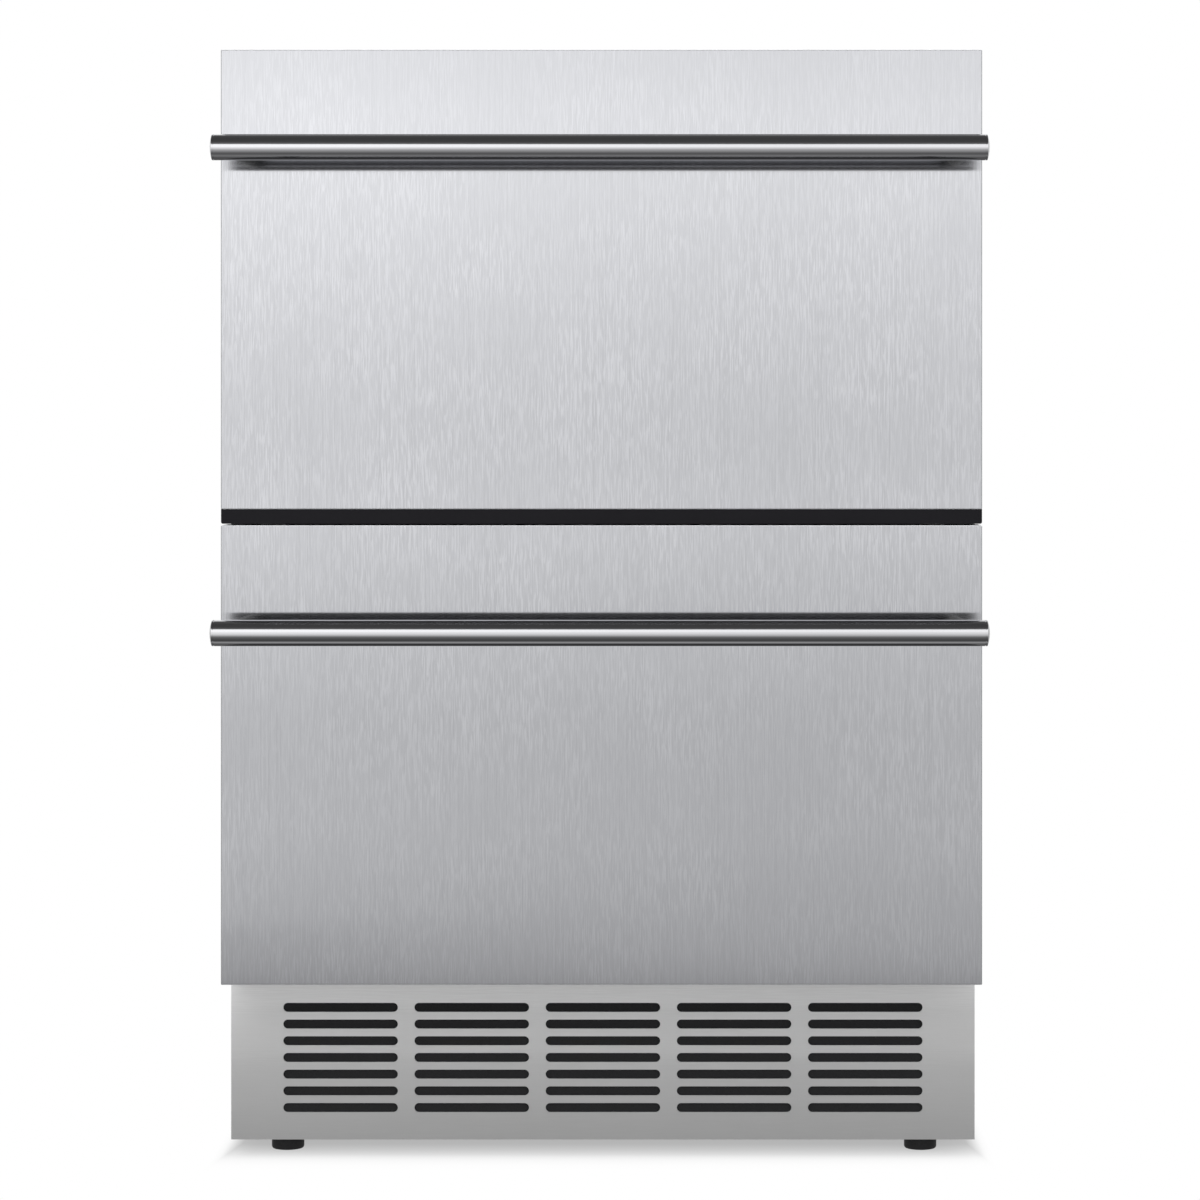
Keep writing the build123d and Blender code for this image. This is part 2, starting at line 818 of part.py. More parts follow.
def fan_frame(x, y, z):
    """A square fan frame with its motor on four struts at the back and an axle."""
    y_span = (y, y + fan_depth)
    frame = block(centred(fan_size, x), y_span, centred(fan_size, z))
    frame = fillet(frame.edges().filter_by(Axis.Y), fan_corner)
    frame -= rod_y(duct_radius, x, y_span, z)
    motor_span = (y_span[1] - motor_depth, y_span[1])
    reach = 2 * duct_radius + strut_width
    frame += block(centred(reach, x), motor_span, centred(strut_width, z))
    frame += block(centred(strut_width, x), motor_span, centred(reach, z))
    frame += rod_y(motor_radius, x, motor_span, z)
    return frame + rod_y(axle_radius, x, (motor_span[0] - axle_length, motor_span[1]), z)


def fan_blades(x, y, z):
    """A hub with twisted blades, bored for the axle."""
    hub_span = (y + hub_setback, y + hub_setback + hub_depth)
    middle = sum(hub_span) / 2
    sections = []
    for radius, chord, angle in (
        (hub_radius - blade_thickness, blade_root_chord, blade_root_angle),
        (duct_radius - blade_tip_gap, blade_tip_chord, blade_tip_angle),
    ):
        along = (0, sin(radians(angle)), cos(radians(angle)))
        plane = Plane(origin=(radius, 0, 0), x_dir=along, z_dir=(1, 0, 0))
        sections.append(plane * Rectangle(chord, blade_thickness))
    blade = loft(sections)
    rotor = rod_y(hub_radius, 0, centred(hub_depth), 0)
    for count in range(blade_count):
        rotor += Rot(0, count * 360 / blade_count, 0) * blade
    rotor = Pos(x, middle, z) * rotor
    motor_face = y + fan_depth - motor_depth
    bore_span = (motor_face - axle_length - axle_clearance, hub_span[1])
    return rotor - rod_y(axle_radius + axle_clearance, x, bore_span, z)


def coil_path(x_span, y, z, rows):
    """The line of a coil that goes to and fro, from its lowest row up."""
    points = []
    for row in range(rows):
        height = z + row * coil_row_pitch
        ends = x_span if row % 2 else x_span[::-1]
        points += [(ends[0], y, height), (ends[1], y, height)]
    return FilletPolyline(*points, radius=coil_row_pitch / 2 - coil_straight)


def finned_coil(x_span, y_span, z, rows, foot, back):
    """A coil through thin fins; its two end plates reach down to foot and back to back."""
    path = coil_path((x_span[0] - coil_fin_margin, x_span[1] + coil_fin_margin), sum(y_span) / 2, z, rows)
    coil = sweep(Plane(origin=path @ 0, z_dir=path % 0) * Circle(coil_tube_radius), path=path)
    fin_heights = (z - coil_fin_margin, z + (rows - 1) * coil_row_pitch + coil_fin_margin)
    length = x_span[1] - x_span[0]
    fins = round(length / coil_fin_pitch)
    for fin in range(fins + 1):
        x = x_span[0] + fin * length / fins
        is_end = fin in (0, fins)
        heights = (foot if is_end else fin_heights[0], fin_heights[1])
        depths = (y_span[0], back if is_end else y_span[1])
        coil += block(centred(coil_fin_sheet, x), depths, heights)
    return coil


def evaporator_coil():
    """The cooling coil, held by its end plates on the liner's back wall."""
    front = cover_front + evaporator_setback
    foot = cover_base + evaporator_rise
    z = foot + coil_fin_margin
    y_span = (front, front + evaporator_fins)
    highest = evaporator_fan_place()[1] - fan_size / 2 - fan_coil_gap - coil_fin_margin
    rows = 1 + int((highest - z) / coil_row_pitch)
    x_span = centred(2 * (cover_half - evaporator_side_gap))
    return finned_coil(x_span, y_span, z, rows, foot, cavity_back)


def evaporator_fan_place():
    """The front and middle height of the evaporator's fan."""
    return cover_front + cover_sheet, cover_top - fan_drop - fan_size / 2


def evaporator_cover():
    """The panel in front of the coil, with a round grille for the fan and an intake below."""
    x_span = centred(2 * cover_half)
    z_span = (cover_base, cover_top)
    panel = block(x_span, (cover_front, cavity_back), z_span)
    hollow_span = (cover_front + cover_sheet, cavity_back)
    panel -= block(inset(x_span, cover_sheet), hollow_span, inset(z_span, cover_sheet))
    skin_span = (cover_front, cover_front + cover_sheet)
    fan_height = evaporator_fan_place()[1]
    rows = int(duct_radius / grille_slot_pitch)
    for row in range(-rows, rows + 1):
        rise = row * grille_slot_pitch
        chord = 2 * (duct_radius**2 - rise**2) ** 0.5
        if chord > grille_edge:
            height = fan_height + rise
            panel -= slot_cutter(0, skin_span, height, chord, grille_slot_width, 1, 1, chord, chord)
    intake_height = cover_base + intake_rise
    return panel - slot_cutter(0, skin_span, intake_height, intake_slot_length, grille_slot_width,
                               intake_columns, intake_rows, intake_column_pitch, grille_slot_pitch)


def light_bar():
    """The lamp under the ceiling."""
    y_span = (cabinet_front + light_setback, cabinet_front + light_setback + light_width)
    bar = block(centred(light_length), y_span, (cavity_top - light_height, cavity_top))
    lower = bar.edges().filter_by(Axis.X).group_by(Axis.Z)[0]
    return fillet(lower, light_height / 2)


def control_front():
    """The Y of the control housing's face."""
    return cabinet_front + control_setback


def control_middle():
    """The middle height of the control housing."""
    return cavity_top - control_height / 2


def button_places():
    """The X of each button, by name."""
    names = ("button_power", "button_warmer", "button_cooler")
    return {name: button_offset + count * button_pitch for count, name in enumerate(names)}


def control_housing():
    """The housing under the ceiling, cut out for the window and the buttons."""
    x_span = centred(control_width)
    y_span = (control_front(), control_front() + control_depth)
    z_span = (cavity_top - control_height, cavity_top)
    housing = block(x_span, y_span, z_span)
    housing = fillet(housing.edges().filter_by(Axis.X).group_by(Axis.Z)[0], control_round)
    hollow_span = (z_span[0] + control_wall, z_span[1])
    housing -= block(inset(x_span, control_wall), inset(y_span, control_wall), hollow_span)
    wall_span = (y_span[0], y_span[0] + control_wall)
    window_span = centred(window_height, control_middle())
    housing -= block(centred(window_width, -window_offset), wall_span, window_span)
    for x in button_places().values():
        width = button_width + 2 * button_clearance
        height = button_height + 2 * button_clearance
        housing -= block(centred(width, x), wall_span, centred(height, control_middle()))
    return housing


def display_window():
    """The dark window in the housing's face."""
    y_span = (control_front(), control_front() + control_wall)
    return block(centred(window_width, -window_offset), y_span, centred(window_height, control_middle()))


def control_button(x):
    """A push button with a flange behind the housing's face."""
    face = control_front() - button_proud
    cap_span = (face, face + button_depth)
    cap = block(centred(button_width, x), cap_span, centred(button_height, control_middle()))
    cap = fillet(cap.edges().group_by(Axis.Y)[0], button_round)
    flange_front = control_front() + control_wall + button_clearance
    flange_span = (flange_front, flange_front + button_flange_sheet)
    width = button_width + 2 * (button_flange + button_clearance)
    height = button_height + 2 * (button_flange + button_clearance)
    return cap + block(centred(width, x), flange_span, centred(height, control_middle()))


def levelling_foot(x, y):
    """A round foot with a nut and a stud that climbs into its bush."""
    pad = rod_z(foot_diameter / 2, x, y, (0, foot_height))
    pad = fillet(pad.edges().group_by(Axis.Z)[0], foot_round)
    nut_height = floor_gap - foot_nut_clearance - foot_height
    nut = Pos(x, y, foot_height) * extrude(RegularPolygon(foot_nut_diameter / 2, 6), amount=nut_height)
    return pad + nut + rod_z(foot_stud_diameter / 2, x, y, (0, floor_gap + foot_stud_length))


def compressor_place():
    """The X and Y of the compressor's middle."""
    x = shell_half - compressor_side_gap - plate_length / 2
    return x, foam_back - compressor_back_gap - compressor_radius


def compressor_spans():
    """The X and Y spans of the compressor's mounting plate."""
    x, y = compressor_place()
    return centred(plate_length, x), centred(plate_width, y)


def grommet_places():
    """The X and Y of each rubber mount under the compressor's plate."""
    x_span, y_span = compressor_spans()
    return [(x, y) for x in inset(x_span, grommet_inset) for y in inset(y_span, grommet_inset)]


def condenser_rows_span():
    """The heights of the condenser's lowest and highest rows."""
    low = pan_top + condenser_rise
    return low, low + (condenser_rows - 1) * coil_row_pitch


def stub_places():
    """The open ends of the compressor's delivery and return stubs."""
    x, y = compressor_place()
    end = x - compressor_radius - stub_length
    near, far = centred(stub_spacing, y)
    return (end, near, condenser_rows_span()[1]), (end, far, pan_top + stub_height)


def compressor():
    """The sealed can with its seam, mounting plate, terminal box and pipe stubs."""
    x, y = compressor_place()
    plate_base = pan_top + grommet_height
    z_span = (plate_base + plate_sheet, plate_base + plate_sheet + compressor_height)
    can = rod_z(compressor_radius, x, y, z_span)
    can = fillet(can.edges().filter_by(GeomType.CIRCLE), compressor_dome)
    seam_radius = compressor_radius + compressor_seam
    seam = rod_z(seam_radius, x, y, centred(compressor_seam_height, sum(z_span) / 2))
    x_span, y_span = compressor_spans()
    plate = block(x_span, y_span, (plate_base, plate_base + plate_sheet))
    plate = fillet(plate.edges().filter_by(Axis.Z), plate_corner)
    terminal_x = (x, x + compressor_radius + terminal_depth)
    terminal_z = centred(terminal_height, sum(z_span) / 2 - compressor_seam_height)
    terminal = block(terminal_x, centred(terminal_width, y), terminal_z)
    body = can + seam + plate + terminal
    for end, stub_y, stub_z in stub_places():
        body += rod_x(pipe_radius, (end, x), stub_y, stub_z)
    return body


def compressor_grommets():
    """The four rubber mounts."""
    height = (pan_top, pan_top + grommet_height)
    return group([rod_z(grommet_radius, x, y, height) for x, y in grommet_places()])


def condenser_spans():
    """The X and Y spans of the condenser's fins."""
    left = condenser_side_gap - shell_half
    front = cabinet_front + condenser_setback
    right = stub_places()[0][0] - condenser_pipe_gap
    return (left, right), (front, front + condenser_fins)


def condenser_coil():
    """The condenser behind the kick plate, standing on its end plates."""
    x_span, y_span = condenser_spans()
    low = condenser_rows_span()[0]
    return finned_coil(x_span, y_span, low, condenser_rows, pan_top, y_span[1])


def condenser_fan_place():
    """The X, front and middle height of the condenser's fan."""
    x_span, y_span = condenser_spans()
    return sum(x_span) / 2, y_span[1] + fan_setback, pan_top + fan_size / 2


def pipe(points):
    """A refrigerant pipe along straight runs with round bends."""
    path = FilletPolyline(*points, radius=pipe_bend)
    return sweep(Plane(origin=path @ 0, z_dir=path % 0) * Circle(pipe_radius), path=path)


def refrigerant_pipes():
    """The delivery pipe, the liquid pipe with its drier, and the return pipe."""
    delivery_start, return_start = stub_places()
    end, near, high = delivery_start
    far, return_z = return_start[1:]
    x_span, y_span = condenser_spans()
    coil_y = sum(y_span) / 2
    coil_end = x_span[1] + coil_fin_margin + coil_tube_radius
    low = condenser_rows_span()[0]
    lane = coil_end + pipe_lane_gap
    delivery = pipe([delivery_start, (lane, near, high), (lane, coil_y, high), (coil_end, coil_y, high)])
    drier_x = end - drier_offset
    liquid = pipe([(coil_end, coil_y, low), (drier_x, coil_y, low), (drier_x, far, low),
                   (drier_x, far, ledge_base)])
    liquid += rod_z(drier_radius, drier_x, far, centred(drier_length, (low + ledge_base) / 2))
    back_x = end - pipe_bend - pipe_radius
    returning = pipe([return_start, (back_x, far, return_z), (back_x, far, ledge_base)])
    return group([delivery, liquid, returning])


def drain_pan():
    """The tray that catches the meltwater."""
    left = drain_pan_side_gap - shell_half
    front = step_wall + drain_pan_step_gap
    x_span = (left, left + drain_pan_width)
    y_span = (front, front + drain_pan_depth)
    z_span = (pan_top, pan_top + drain_pan_height)
    hollow = block(inset(x_span, drain_pan_wall), inset(y_span, drain_pan_wall),
                   (z_span[0] + drain_pan_wall, z_span[1]))
    return block(x_span, y_span, z_span) - hollow


def electrical_box():
    """The closed box of the mains parts, on the left side panel."""
    back = back_outer - inlet_length
    z_span = (pan_top + box_rise, pan_top + box_rise + box_height)
    box = block((-shell_half, box_width - shell_half), (back - box_depth, back), z_span)
    return fillet(box.edges().filter_by(Axis.Z).group_by(Axis.X)[-1], box_round)


def mains_inlet():
    """The appliance inlet in the rear cover, with three flat pins."""
    x, z = inlet_place()
    back = back_outer - inlet_length
    body = block(centred(inlet_width, x), (back, back_outer), centred(inlet_height, z))
    flange_span = (back_outer, back_outer + inlet_flange_sheet)
    flange_width = inlet_width + 2 * inlet_flange
    body += block(centred(flange_width, x), flange_span, centred(inlet_height + 2 * inlet_flange, z))
    mouth = back_outer + inlet_flange_sheet
    recess_span = (mouth - inlet_recess, mouth)
    recess_width = inlet_width - 2 * inlet_wall
    body -= block(centred(recess_width, x), recess_span, centred(inlet_height - 2 * inlet_wall, z))
    pin_span = (recess_span[0], recess_span[0] + inlet_pin_length)
    for side, rise in ((-1, -1), (0, 1), (1, -1)):
        pin_x = centred(inlet_pin_width, x + side * inlet_pin_spacing)
        body += block(pin_x, pin_span, centred(inlet_pin_height, z + rise * inlet_pin_rise))
    return body


def all_parts():
    """Every node by name."""
    fan_y, fan_z = evaporator_fan_place()
    condenser_fan = condenser_fan_place()
    parts = {
        "cabinet_sides": cabinet_sides(),
        "cabinet_top": cabinet_top(),
        "cabinet_back": cabinet_back_panel(),
        "rear_cover": rear_cover(),
        "panel_screws": panel_screws(),
        "base_pan": base_pan(),
        "machine_deck": machine_deck(),
        "kick_plate": kick_plate(),
        "intake_filter": intake_filter(),
        "inner_liner": inner_liner(),
        "insulation_foam": insulation_foam(),
        "mullion": mullion(),
        "evaporator_coil": evaporator_coil(),
        "evaporator_cover": evaporator_cover(),
        "evaporator_fan_frame": fan_frame(0, fan_y, fan_z),
        "evaporator_fan_blades": fan_blades(0, fan_y, fan_z),
        "light_bar": light_bar(),
        "control_housing": control_housing(),
        "display_window": display_window(),
        "compressor": compressor(),
        "compressor_grommets": compressor_grommets(),
        "condenser_coil": condenser_coil(),
        "condenser_fan_frame": fan_frame(*condenser_fan),
        "condenser_fan_blades": fan_blades(*condenser_fan),
        "refrigerant_pipes": refrigerant_pipes(),
        "drain_pan": drain_pan(),
        "electrical_box": electrical_box(),
        "mains_inlet": mains_inlet(),
        "upper_drawer_trim": upper_drawer_trim(),
        "upper_drawer_tub": drawer_tub(upper_tub_floor, upper_tub_top, tub_back, upper_tub_floor),
        "lower_drawer_tub": drawer_tub(lower_tub_floor, lower_tub_top, lower_tub_step, lower_tub_ledge),
    }
    for name, x in button_places().items():
        parts[name] = control_button(x)
    for name, place in foot_places().items():
        parts[name] = levelling_foot(*place)
    drawers = {
        "upper": (upper_front_base, upper_slide_middle),
        "lower": (lower_front_base, lower_slide_middle),
    }
    for drawer, (base, slide_middle) in drawers.items():
        parts[f"{drawer}_drawer_skin"] = drawer_skin(base)
        parts[f"{drawer}_drawer_foam"] = drawer_foam(base)
        parts[f"{drawer}_drawer_inner_panel"] = drawer_inner_panel(base)
        parts[f"{drawer}_drawer_gasket"] = drawer_gasket(base)
        parts[f"{drawer}_handle_bar"] = handle_bar(base)
        parts[f"{drawer}_handle_end_caps"] = handle_end_caps(base)
        parts[f"{drawer}_handle_posts"] = handle_posts(base)
        parts[f"{drawer}_handle_studs"] = handle_studs(base)
        parts[f"{drawer}_slides_outer"] = slides_outer(slide_middle)
        parts[f"{drawer}_slides_middle"] = slides_middle(slide_middle)
        parts[f"{drawer}_slides_inner"] = slides_inner(slide_middle)
    return parts


os.makedirs("parts", exist_ok=True)
for name, shape in all_parts().items():
    export_step(shape, f"parts/{name}.step")
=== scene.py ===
from math import cos, pi, radians, sin, sqrt

import bmesh
import bpy
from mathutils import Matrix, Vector
from mathutils.geometry import tessellate_polygon


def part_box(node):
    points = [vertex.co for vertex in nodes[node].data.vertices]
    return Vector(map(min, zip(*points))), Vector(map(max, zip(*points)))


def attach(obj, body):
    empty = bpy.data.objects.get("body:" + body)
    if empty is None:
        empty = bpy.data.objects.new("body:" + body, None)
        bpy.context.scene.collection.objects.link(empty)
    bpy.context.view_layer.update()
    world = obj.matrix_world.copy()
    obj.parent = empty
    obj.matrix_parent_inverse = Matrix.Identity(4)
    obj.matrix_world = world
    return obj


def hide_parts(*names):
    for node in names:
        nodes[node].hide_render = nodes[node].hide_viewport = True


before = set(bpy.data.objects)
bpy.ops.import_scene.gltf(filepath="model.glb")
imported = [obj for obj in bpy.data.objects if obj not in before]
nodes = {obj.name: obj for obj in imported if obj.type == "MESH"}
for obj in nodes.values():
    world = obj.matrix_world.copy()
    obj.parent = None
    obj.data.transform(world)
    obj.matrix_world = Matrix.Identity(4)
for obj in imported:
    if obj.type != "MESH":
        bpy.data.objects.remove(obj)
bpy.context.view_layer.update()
scene = bpy.context.scene

# Camera: level, on the photograph's side, in metres and pixels of its 1200 pixel frame
image_size = 1200
sensor_width = 36.0
focal_pixels = 3717
camera_distance = 2.9  # from the faces of the drawer fronts
camera_height = 0.586
camera_side = 0.065
horizon_row = 420
middle_column = 601.5  # where the middle of the fronts shows

# Floor and its soft shadow, partly real and partly painted, in pairs of a distance from the cabinet's outline
# and a share
floor_size = 12.0
floor_share = (
    (-0.15, 0.0), (-0.1, 0.36), (-0.071, 0.44), (-0.055, 0.46), (-0.034, 0.55), (-0.0135, 0.69),
    (0.007, 0.88), (0.028, 0.97), (0.05, 1.0),
)  # of plain white
shadow_side = 0.008  # how much further out the shadow starts at the cabinet's sides
shadow_fall = 6.0  # how many times faster it fades there
shadow_depth = ((-0.06, 0.25), (0.02, 1.0))  # painted shadow: how much of the floor's own light the camera sees, darker near the cabinet's outline
floor_bounce = 0.5  # of the floor's own brightness, where it lights the object

# What metal reflects: a floor that brightens away from the cabinet's outline, round walls of light, and
# darkness above the front ones. Pairs of a distance, a height or degrees above the horizon with a brightness
mirror_light = 1.35  # times the floor's and the sky's brightness
floor_glow = (
    (0.0, 0.26), (0.13, 0.2), (0.22, 0.11), (0.3, 0.085), (0.36, 0.095), (0.48, 0.125), (0.66, 0.18),
    (0.8, 0.23), (0.93, 0.29), (1.03, 0.37), (1.15, 0.41), (1.3, 0.44), (1.6, 0.47), (6.0, 0.5),
)
wall_radius = 1.71
wall_height = 2.2
front_wall = (
    (0.0, 0.48), (0.1, 0.545), (0.24, 0.575), (0.31, 0.63), (0.375, 0.657), (0.46, 0.733), (0.56, 0.73),
    (0.64, 0.765), (0.75, 0.835), (0.8, 0.87), (0.93, 0.97), (1.01, 0.92), (1.15, 0.9), (1.28, 0.82),
    (1.36, 0.8), (1.42, 0.13), (1.66, 0.1), (1.9, 0.06), (2.2, 0.045),
)
rear_wall = ((0.0, 0.35), (0.4, 0.45), (0.8, 0.6), (1.3, 0.7), (2.2, 0.6))
front_sky = ((0, 0.05), (90, 0.04))
rear_sky = ((0, 1.0), (38, 1.0), (50, 0.25), (62, 0.06), (90, 0.05))
wall_light = 1.52  # times the walls' brightness, and times the next one, by the distance to the right
side_light = (
    (-1.71, 0.35), (-1.6, 0.5), (-1.4, 1.0), (-0.42, 0.95), (-0.2, 0.91), (0.0, 0.865), (0.22, 0.832),
    (0.42, 0.85), (1.4, 0.85), (1.6, 0.42), (1.71, 0.3),
)

# The even light on everything else, from below and from above, and the lamps: name, place, width and watts
floor_light, ceiling_light = 0.55, 0.85
lamps = (
    ("key_lamp", (-1.6, -2.6, 2.6), 2.4, 40),
    ("low_lamp", (-0.6, -3.2, 0.5), 1.6, 23),
    ("fill_lamp", (2.6, -0.6, 1.8), 2.4, 25),
    ("rear_lamp", (0.8, 2.8, 2.2), 2.4, 35),
)
lamp_aim = (0, 0, 0.45)

# The metal's colours, with painted shade and highlights on the fronts' folds, the bars and the kick plate
front_colour = (0.56, 0.565, 0.588)
side_fold_shade, top_fold_highlight = -0.9, 0.6  # painted shade on the fronts' side folds and a painted highlight on their top folds: how much darker and paler they are
brush_depth = (
    (0.15, 0.65), (0.3, 0.85), (0.5, 1.0), (0.62, 1.0), (0.72, 0.8), (0.8, 0.6), (0.87, 0.4),
)  # how strong the fronts' streaks are, by height; weaker towards the top and bottom as painted light, following how brightly the fronts are lit there
bar_painted_shading = (
    (0.07, 1.0), (0.16, 0.84), (0.24, 0.68), (0.32, 0.62), (0.57, 0.6), (0.62, 1.25), (0.7, 1.25),
    (0.76, 0.5), (0.86, 0.33),
)  # the bars' painted shade by how far they face down: darker underneath, with a paler band as a painted highlight
kick_painted_shading = (
    (0.06, 0.467), (0.28, 0.547), (0.46, 0.6), (0.56, 0.675), (0.75, 0.74), (0.86, 0.86), (0.94, 1.0),
)  # the kick plate's painted light and shade, from its lower edge to its upper one: darker below, paler above

# Screws: the head's radius and height, and the shank's length
rear_screw = (0.0036, 0.0016, 0.008)
cover_screw = (0.0036, 0.0016, 0.001)
tub_screw = (0.0045, 0.0018, 0.0008)
rail_screw = (0.0034, 0.0014, 0.0006)
rear_screw_side = 0.2865
rear_screw_heights = (0.039, 0.135, 0.231, 0.279, 0.46933, 0.65967, 0.85)
rail_screw_places = (-0.11, 0.02, 0.15)  # along the rails, as the next three are

# The rails' rivets and release levers, the gaskets, the feet's studs and the printed marks
rivet_places = (-0.18, -0.06, 0.06, 0.18)
lever_place = -0.158
hub_place = -0.166
rivet_rise = 0.009
lever_thickness = 0.0028
tub_half_width = 0.2405
gasket_width = 0.012
stud_base, stud_radius, thread_pitch, thread_depth = 0.0145, 0.004, 0.00125, 0.0006
mark_depth, mark_height, digit_height = -0.0001, 0.0001, 0.00012


class Finish:
    """A material with short calls that add and join its nodes."""

    def __init__(self, name, metallic=0.0, roughness=0.5, tree=None):
        if tree is None:
            self.material = bpy.data.materials.new(name)
            self.material.use_nodes = True
            tree = self.material.node_tree
            self.shader = tree.nodes["Principled BSDF"]
            self.set(self.shader, Metallic=metallic, Roughness=roughness)
        self.tree = tree

    def add(self, kind, inputs=(), **settings):
        """A new node; inputs pairs a socket's name or number with a value or an output socket."""
        node = self.tree.nodes.new("ShaderNode" + kind)
        for key, value in settings.items():
            setattr(node, key, value)
        for key, value in dict(inputs).items():
            self.feed(node.inputs[key], value)
        return node

    def feed(self, socket, value):
        """Joins an output to a socket, or sets the socket's own value."""
        if isinstance(value, bpy.types.NodeSocket):
            self.tree.links.new(value, socket)
        else:
            socket.default_value = value

    def set(self, node, **values):
        """Sets a node's sockets by name, with _ for a space."""
        for key, value in values.items():
            self.feed(node.inputs[key.replace("_", " ")], value)

    def math(self, operation, first, second=0.0, clamp=False):
        """One sum of two numbers."""
        return self.add("Math", {0: first, 1: second}, operation=operation, use_clamp=clamp).outputs[0]

    def place(self, stretch=(1, 1, 1)):
        """The object's own coordinates in metres, stretched."""
        coordinates = self.add("TexCoord").outputs["Object"]
        return self.add("Mapping", {"Vector": coordinates, "Scale": stretch}).outputs[0]

    def noise(self, scale, stretch=(1, 1, 1), detail=2.0, distortion=0.0):
        """A noise whose grains are 1 / scale metres long, before stretching."""
        sizes = {"Vector": self.place(stretch), "Scale": scale, "Detail": detail, "Distortion": distortion}
        return self.add("TexNoise", sizes).outputs[0]

    def ramp(self, value, *stops):
        """Maps a number to greys or colours through stops of (position, grey or colour)."""
        node = self.add("ValToRGB", {0: value})
        elements = node.color_ramp.elements
        while len(elements) < len(stops):
            elements.new(0.5)
        for element, (position, colour) in zip(elements, stops):
            element.position = position
            element.color = grey(colour)
        return node.outputs[0]

    def smooth_range(self, value, start, end):
        """0 below the start, 1 above the end and a smooth curve between them."""
        return self.add("MapRange", {0: value, 1: start, 2: end}, interpolation_type="SMOOTHSTEP").outputs[0]

    def bump(self, height, distance, strength):
        """A bump from a height, joined to the shader; distance is in metres."""
        node = self.add("Bump", {"Height": height, "Distance": distance, "Strength": strength})
        self.set(self.shader, Normal=node.outputs["Normal"])

    def colour(self, value):
        """Joins the shader's colour."""
        self.set(self.shader, Base_Color=value)

    def folds(self):
        """1 where a surface turns away from facing forwards, and its tone: painted shade sideways, a painted
        highlight upwards.
        """
        normal = self.add("SeparateXYZ", {0: self.add("NewGeometry").outputs["Normal"]}).outputs
        fold = self.ramp(self.math("ABSOLUTE", normal[1]), (0.05, 0.0), (0.2, 1.0), (0.9, 1.0), (0.995, 0.0))
        sideways = self.math("MULTIPLY", self.math("ABSOLUTE", normal[0]), side_fold_shade)
        upwards = self.math("MULTIPLY", self.math("MAXIMUM", normal[2]), top_fold_highlight)
        tone = self.math("MULTIPLY", self.math("ADD", sideways, upwards), fold)
        return fold, self.math("ADD", tone, 1.0)

    def roughness(self, value, low, high):
        """Roughness that follows a pattern between two values."""
        self.set(self.shader, Roughness=self.ramp(value, (0.3, low), (0.7, high)))


def grey(colour):
    """A colour from one grey level or three, with full alpha."""
    if isinstance(colour, (int, float)):
        return (colour, colour, colour, 1.0)
    return (*colour, 1.0)


def shades(colour, factor):
    """The same colour made lighter or darker."""
    return tuple(channel * factor for channel in colour)


def brushed_steel():
    """Vertical hairlines: paler wavy streaks on a satin metal that mirrors sharply up and down."""
    finish = Finish("front_steel")
    streaks = finish.noise(1.0, (950, 950, 62), detail=1.0, distortion=0.5)
    lines = finish.noise(1.0, (1250, 1250, 8), detail=1.0, distortion=0.3)
    patches = finish.noise(14.0, detail=1.0)
    mask = finish.ramp(streaks, (0.47, 0.0), (0.6, 1.0))
    strength = finish.ramp(patches, (0.35, 0.4), (0.65, 1.0))
    mask = finish.math("MULTIPLY", finish.math("MULTIPLY", mask, strength), 0.42)
    mask = finish.math("ADD", mask, finish.math("MULTIPLY", lines, 0.58))
    height = finish.add("SeparateXYZ", {0: finish.place()}).outputs[2]
    # painted light: the streaks fade towards the top and bottom of the fronts, where they are lit brightest
    # and darkest
    streak_depth = finish.ramp(height, *brush_depth)
    mask = finish.math("MULTIPLY", finish.math("SUBTRACT", mask, 0.42), streak_depth)
    mask = finish.math("ADD", mask, 0.42)
    # painted shade on the fronts' side folds and a painted highlight on their top folds
    folds, tone = finish.folds()
    brush = finish.ramp(mask, (0.1, shades(front_colour, 0.915)), (0.75, shades(front_colour, 1.15)))
    finish.colour(finish.add("VectorMath", {0: brush, 1: tone}, operation="MULTIPLY").outputs[0])
    finish.set(finish.shader, Anisotropic=1.0)
    finish.set(finish.shader, Metallic=finish.add("MapRange", {0: folds, 3: 1.0, 4: 0.2}).outputs[0])
    finish.set(finish.shader, Roughness=finish.add("MapRange", {0: folds, 3: 0.126, 4: 0.5}).outputs[0])
    tangent = finish.add("Tangent", direction_type="RADIAL", axis="Z")
    finish.set(finish.shader, Tangent=tangent.outputs[0])
    return finish.material


def satin_steel(name, colour, roughness, spread, grain=(1, 1, 1), scale=900.0, metallic=1.0, edge=1.0,
                under=()):
    """A metal with a fine even grain and faint cloudy patches.

    edge is how pale it is at a grazing angle, and under pairs how far it faces down with the painted shade
    and highlight tone there.
    """
    finish = Finish(name, metallic=metallic, roughness=roughness)
    finish.set(finish.shader, Specular_Tint=grey(edge))
    clouds = finish.noise(14.0, detail=3.0)
    fine = finish.noise(scale, grain, detail=2.0)
    mix = finish.math("ADD", finish.math("MULTIPLY", clouds, 0.6), finish.math("MULTIPLY", fine, 0.4))
    clouded = finish.ramp(mix, (0.3, shades(colour, 1 - spread)), (0.7, shades(colour, 1 + spread)))
    # painted shade on faces that turn down, with a painted highlight band, from the under pairs
    if under:
        normal = finish.add("SeparateXYZ", {0: finish.add("NewGeometry").outputs["Normal"]}).outputs
        tone = finish.ramp(finish.math("MULTIPLY", normal[2], -1.0, clamp=True), *under)
        clouded = finish.add("VectorMath", {0: clouded, 1: tone}, operation="MULTIPLY").outputs[0]
    finish.colour(clouded)
    finish.roughness(fine, roughness * 0.9, roughness * 1.12)
    finish.bump(fine, 0.00002, 0.5)
    return finish.material


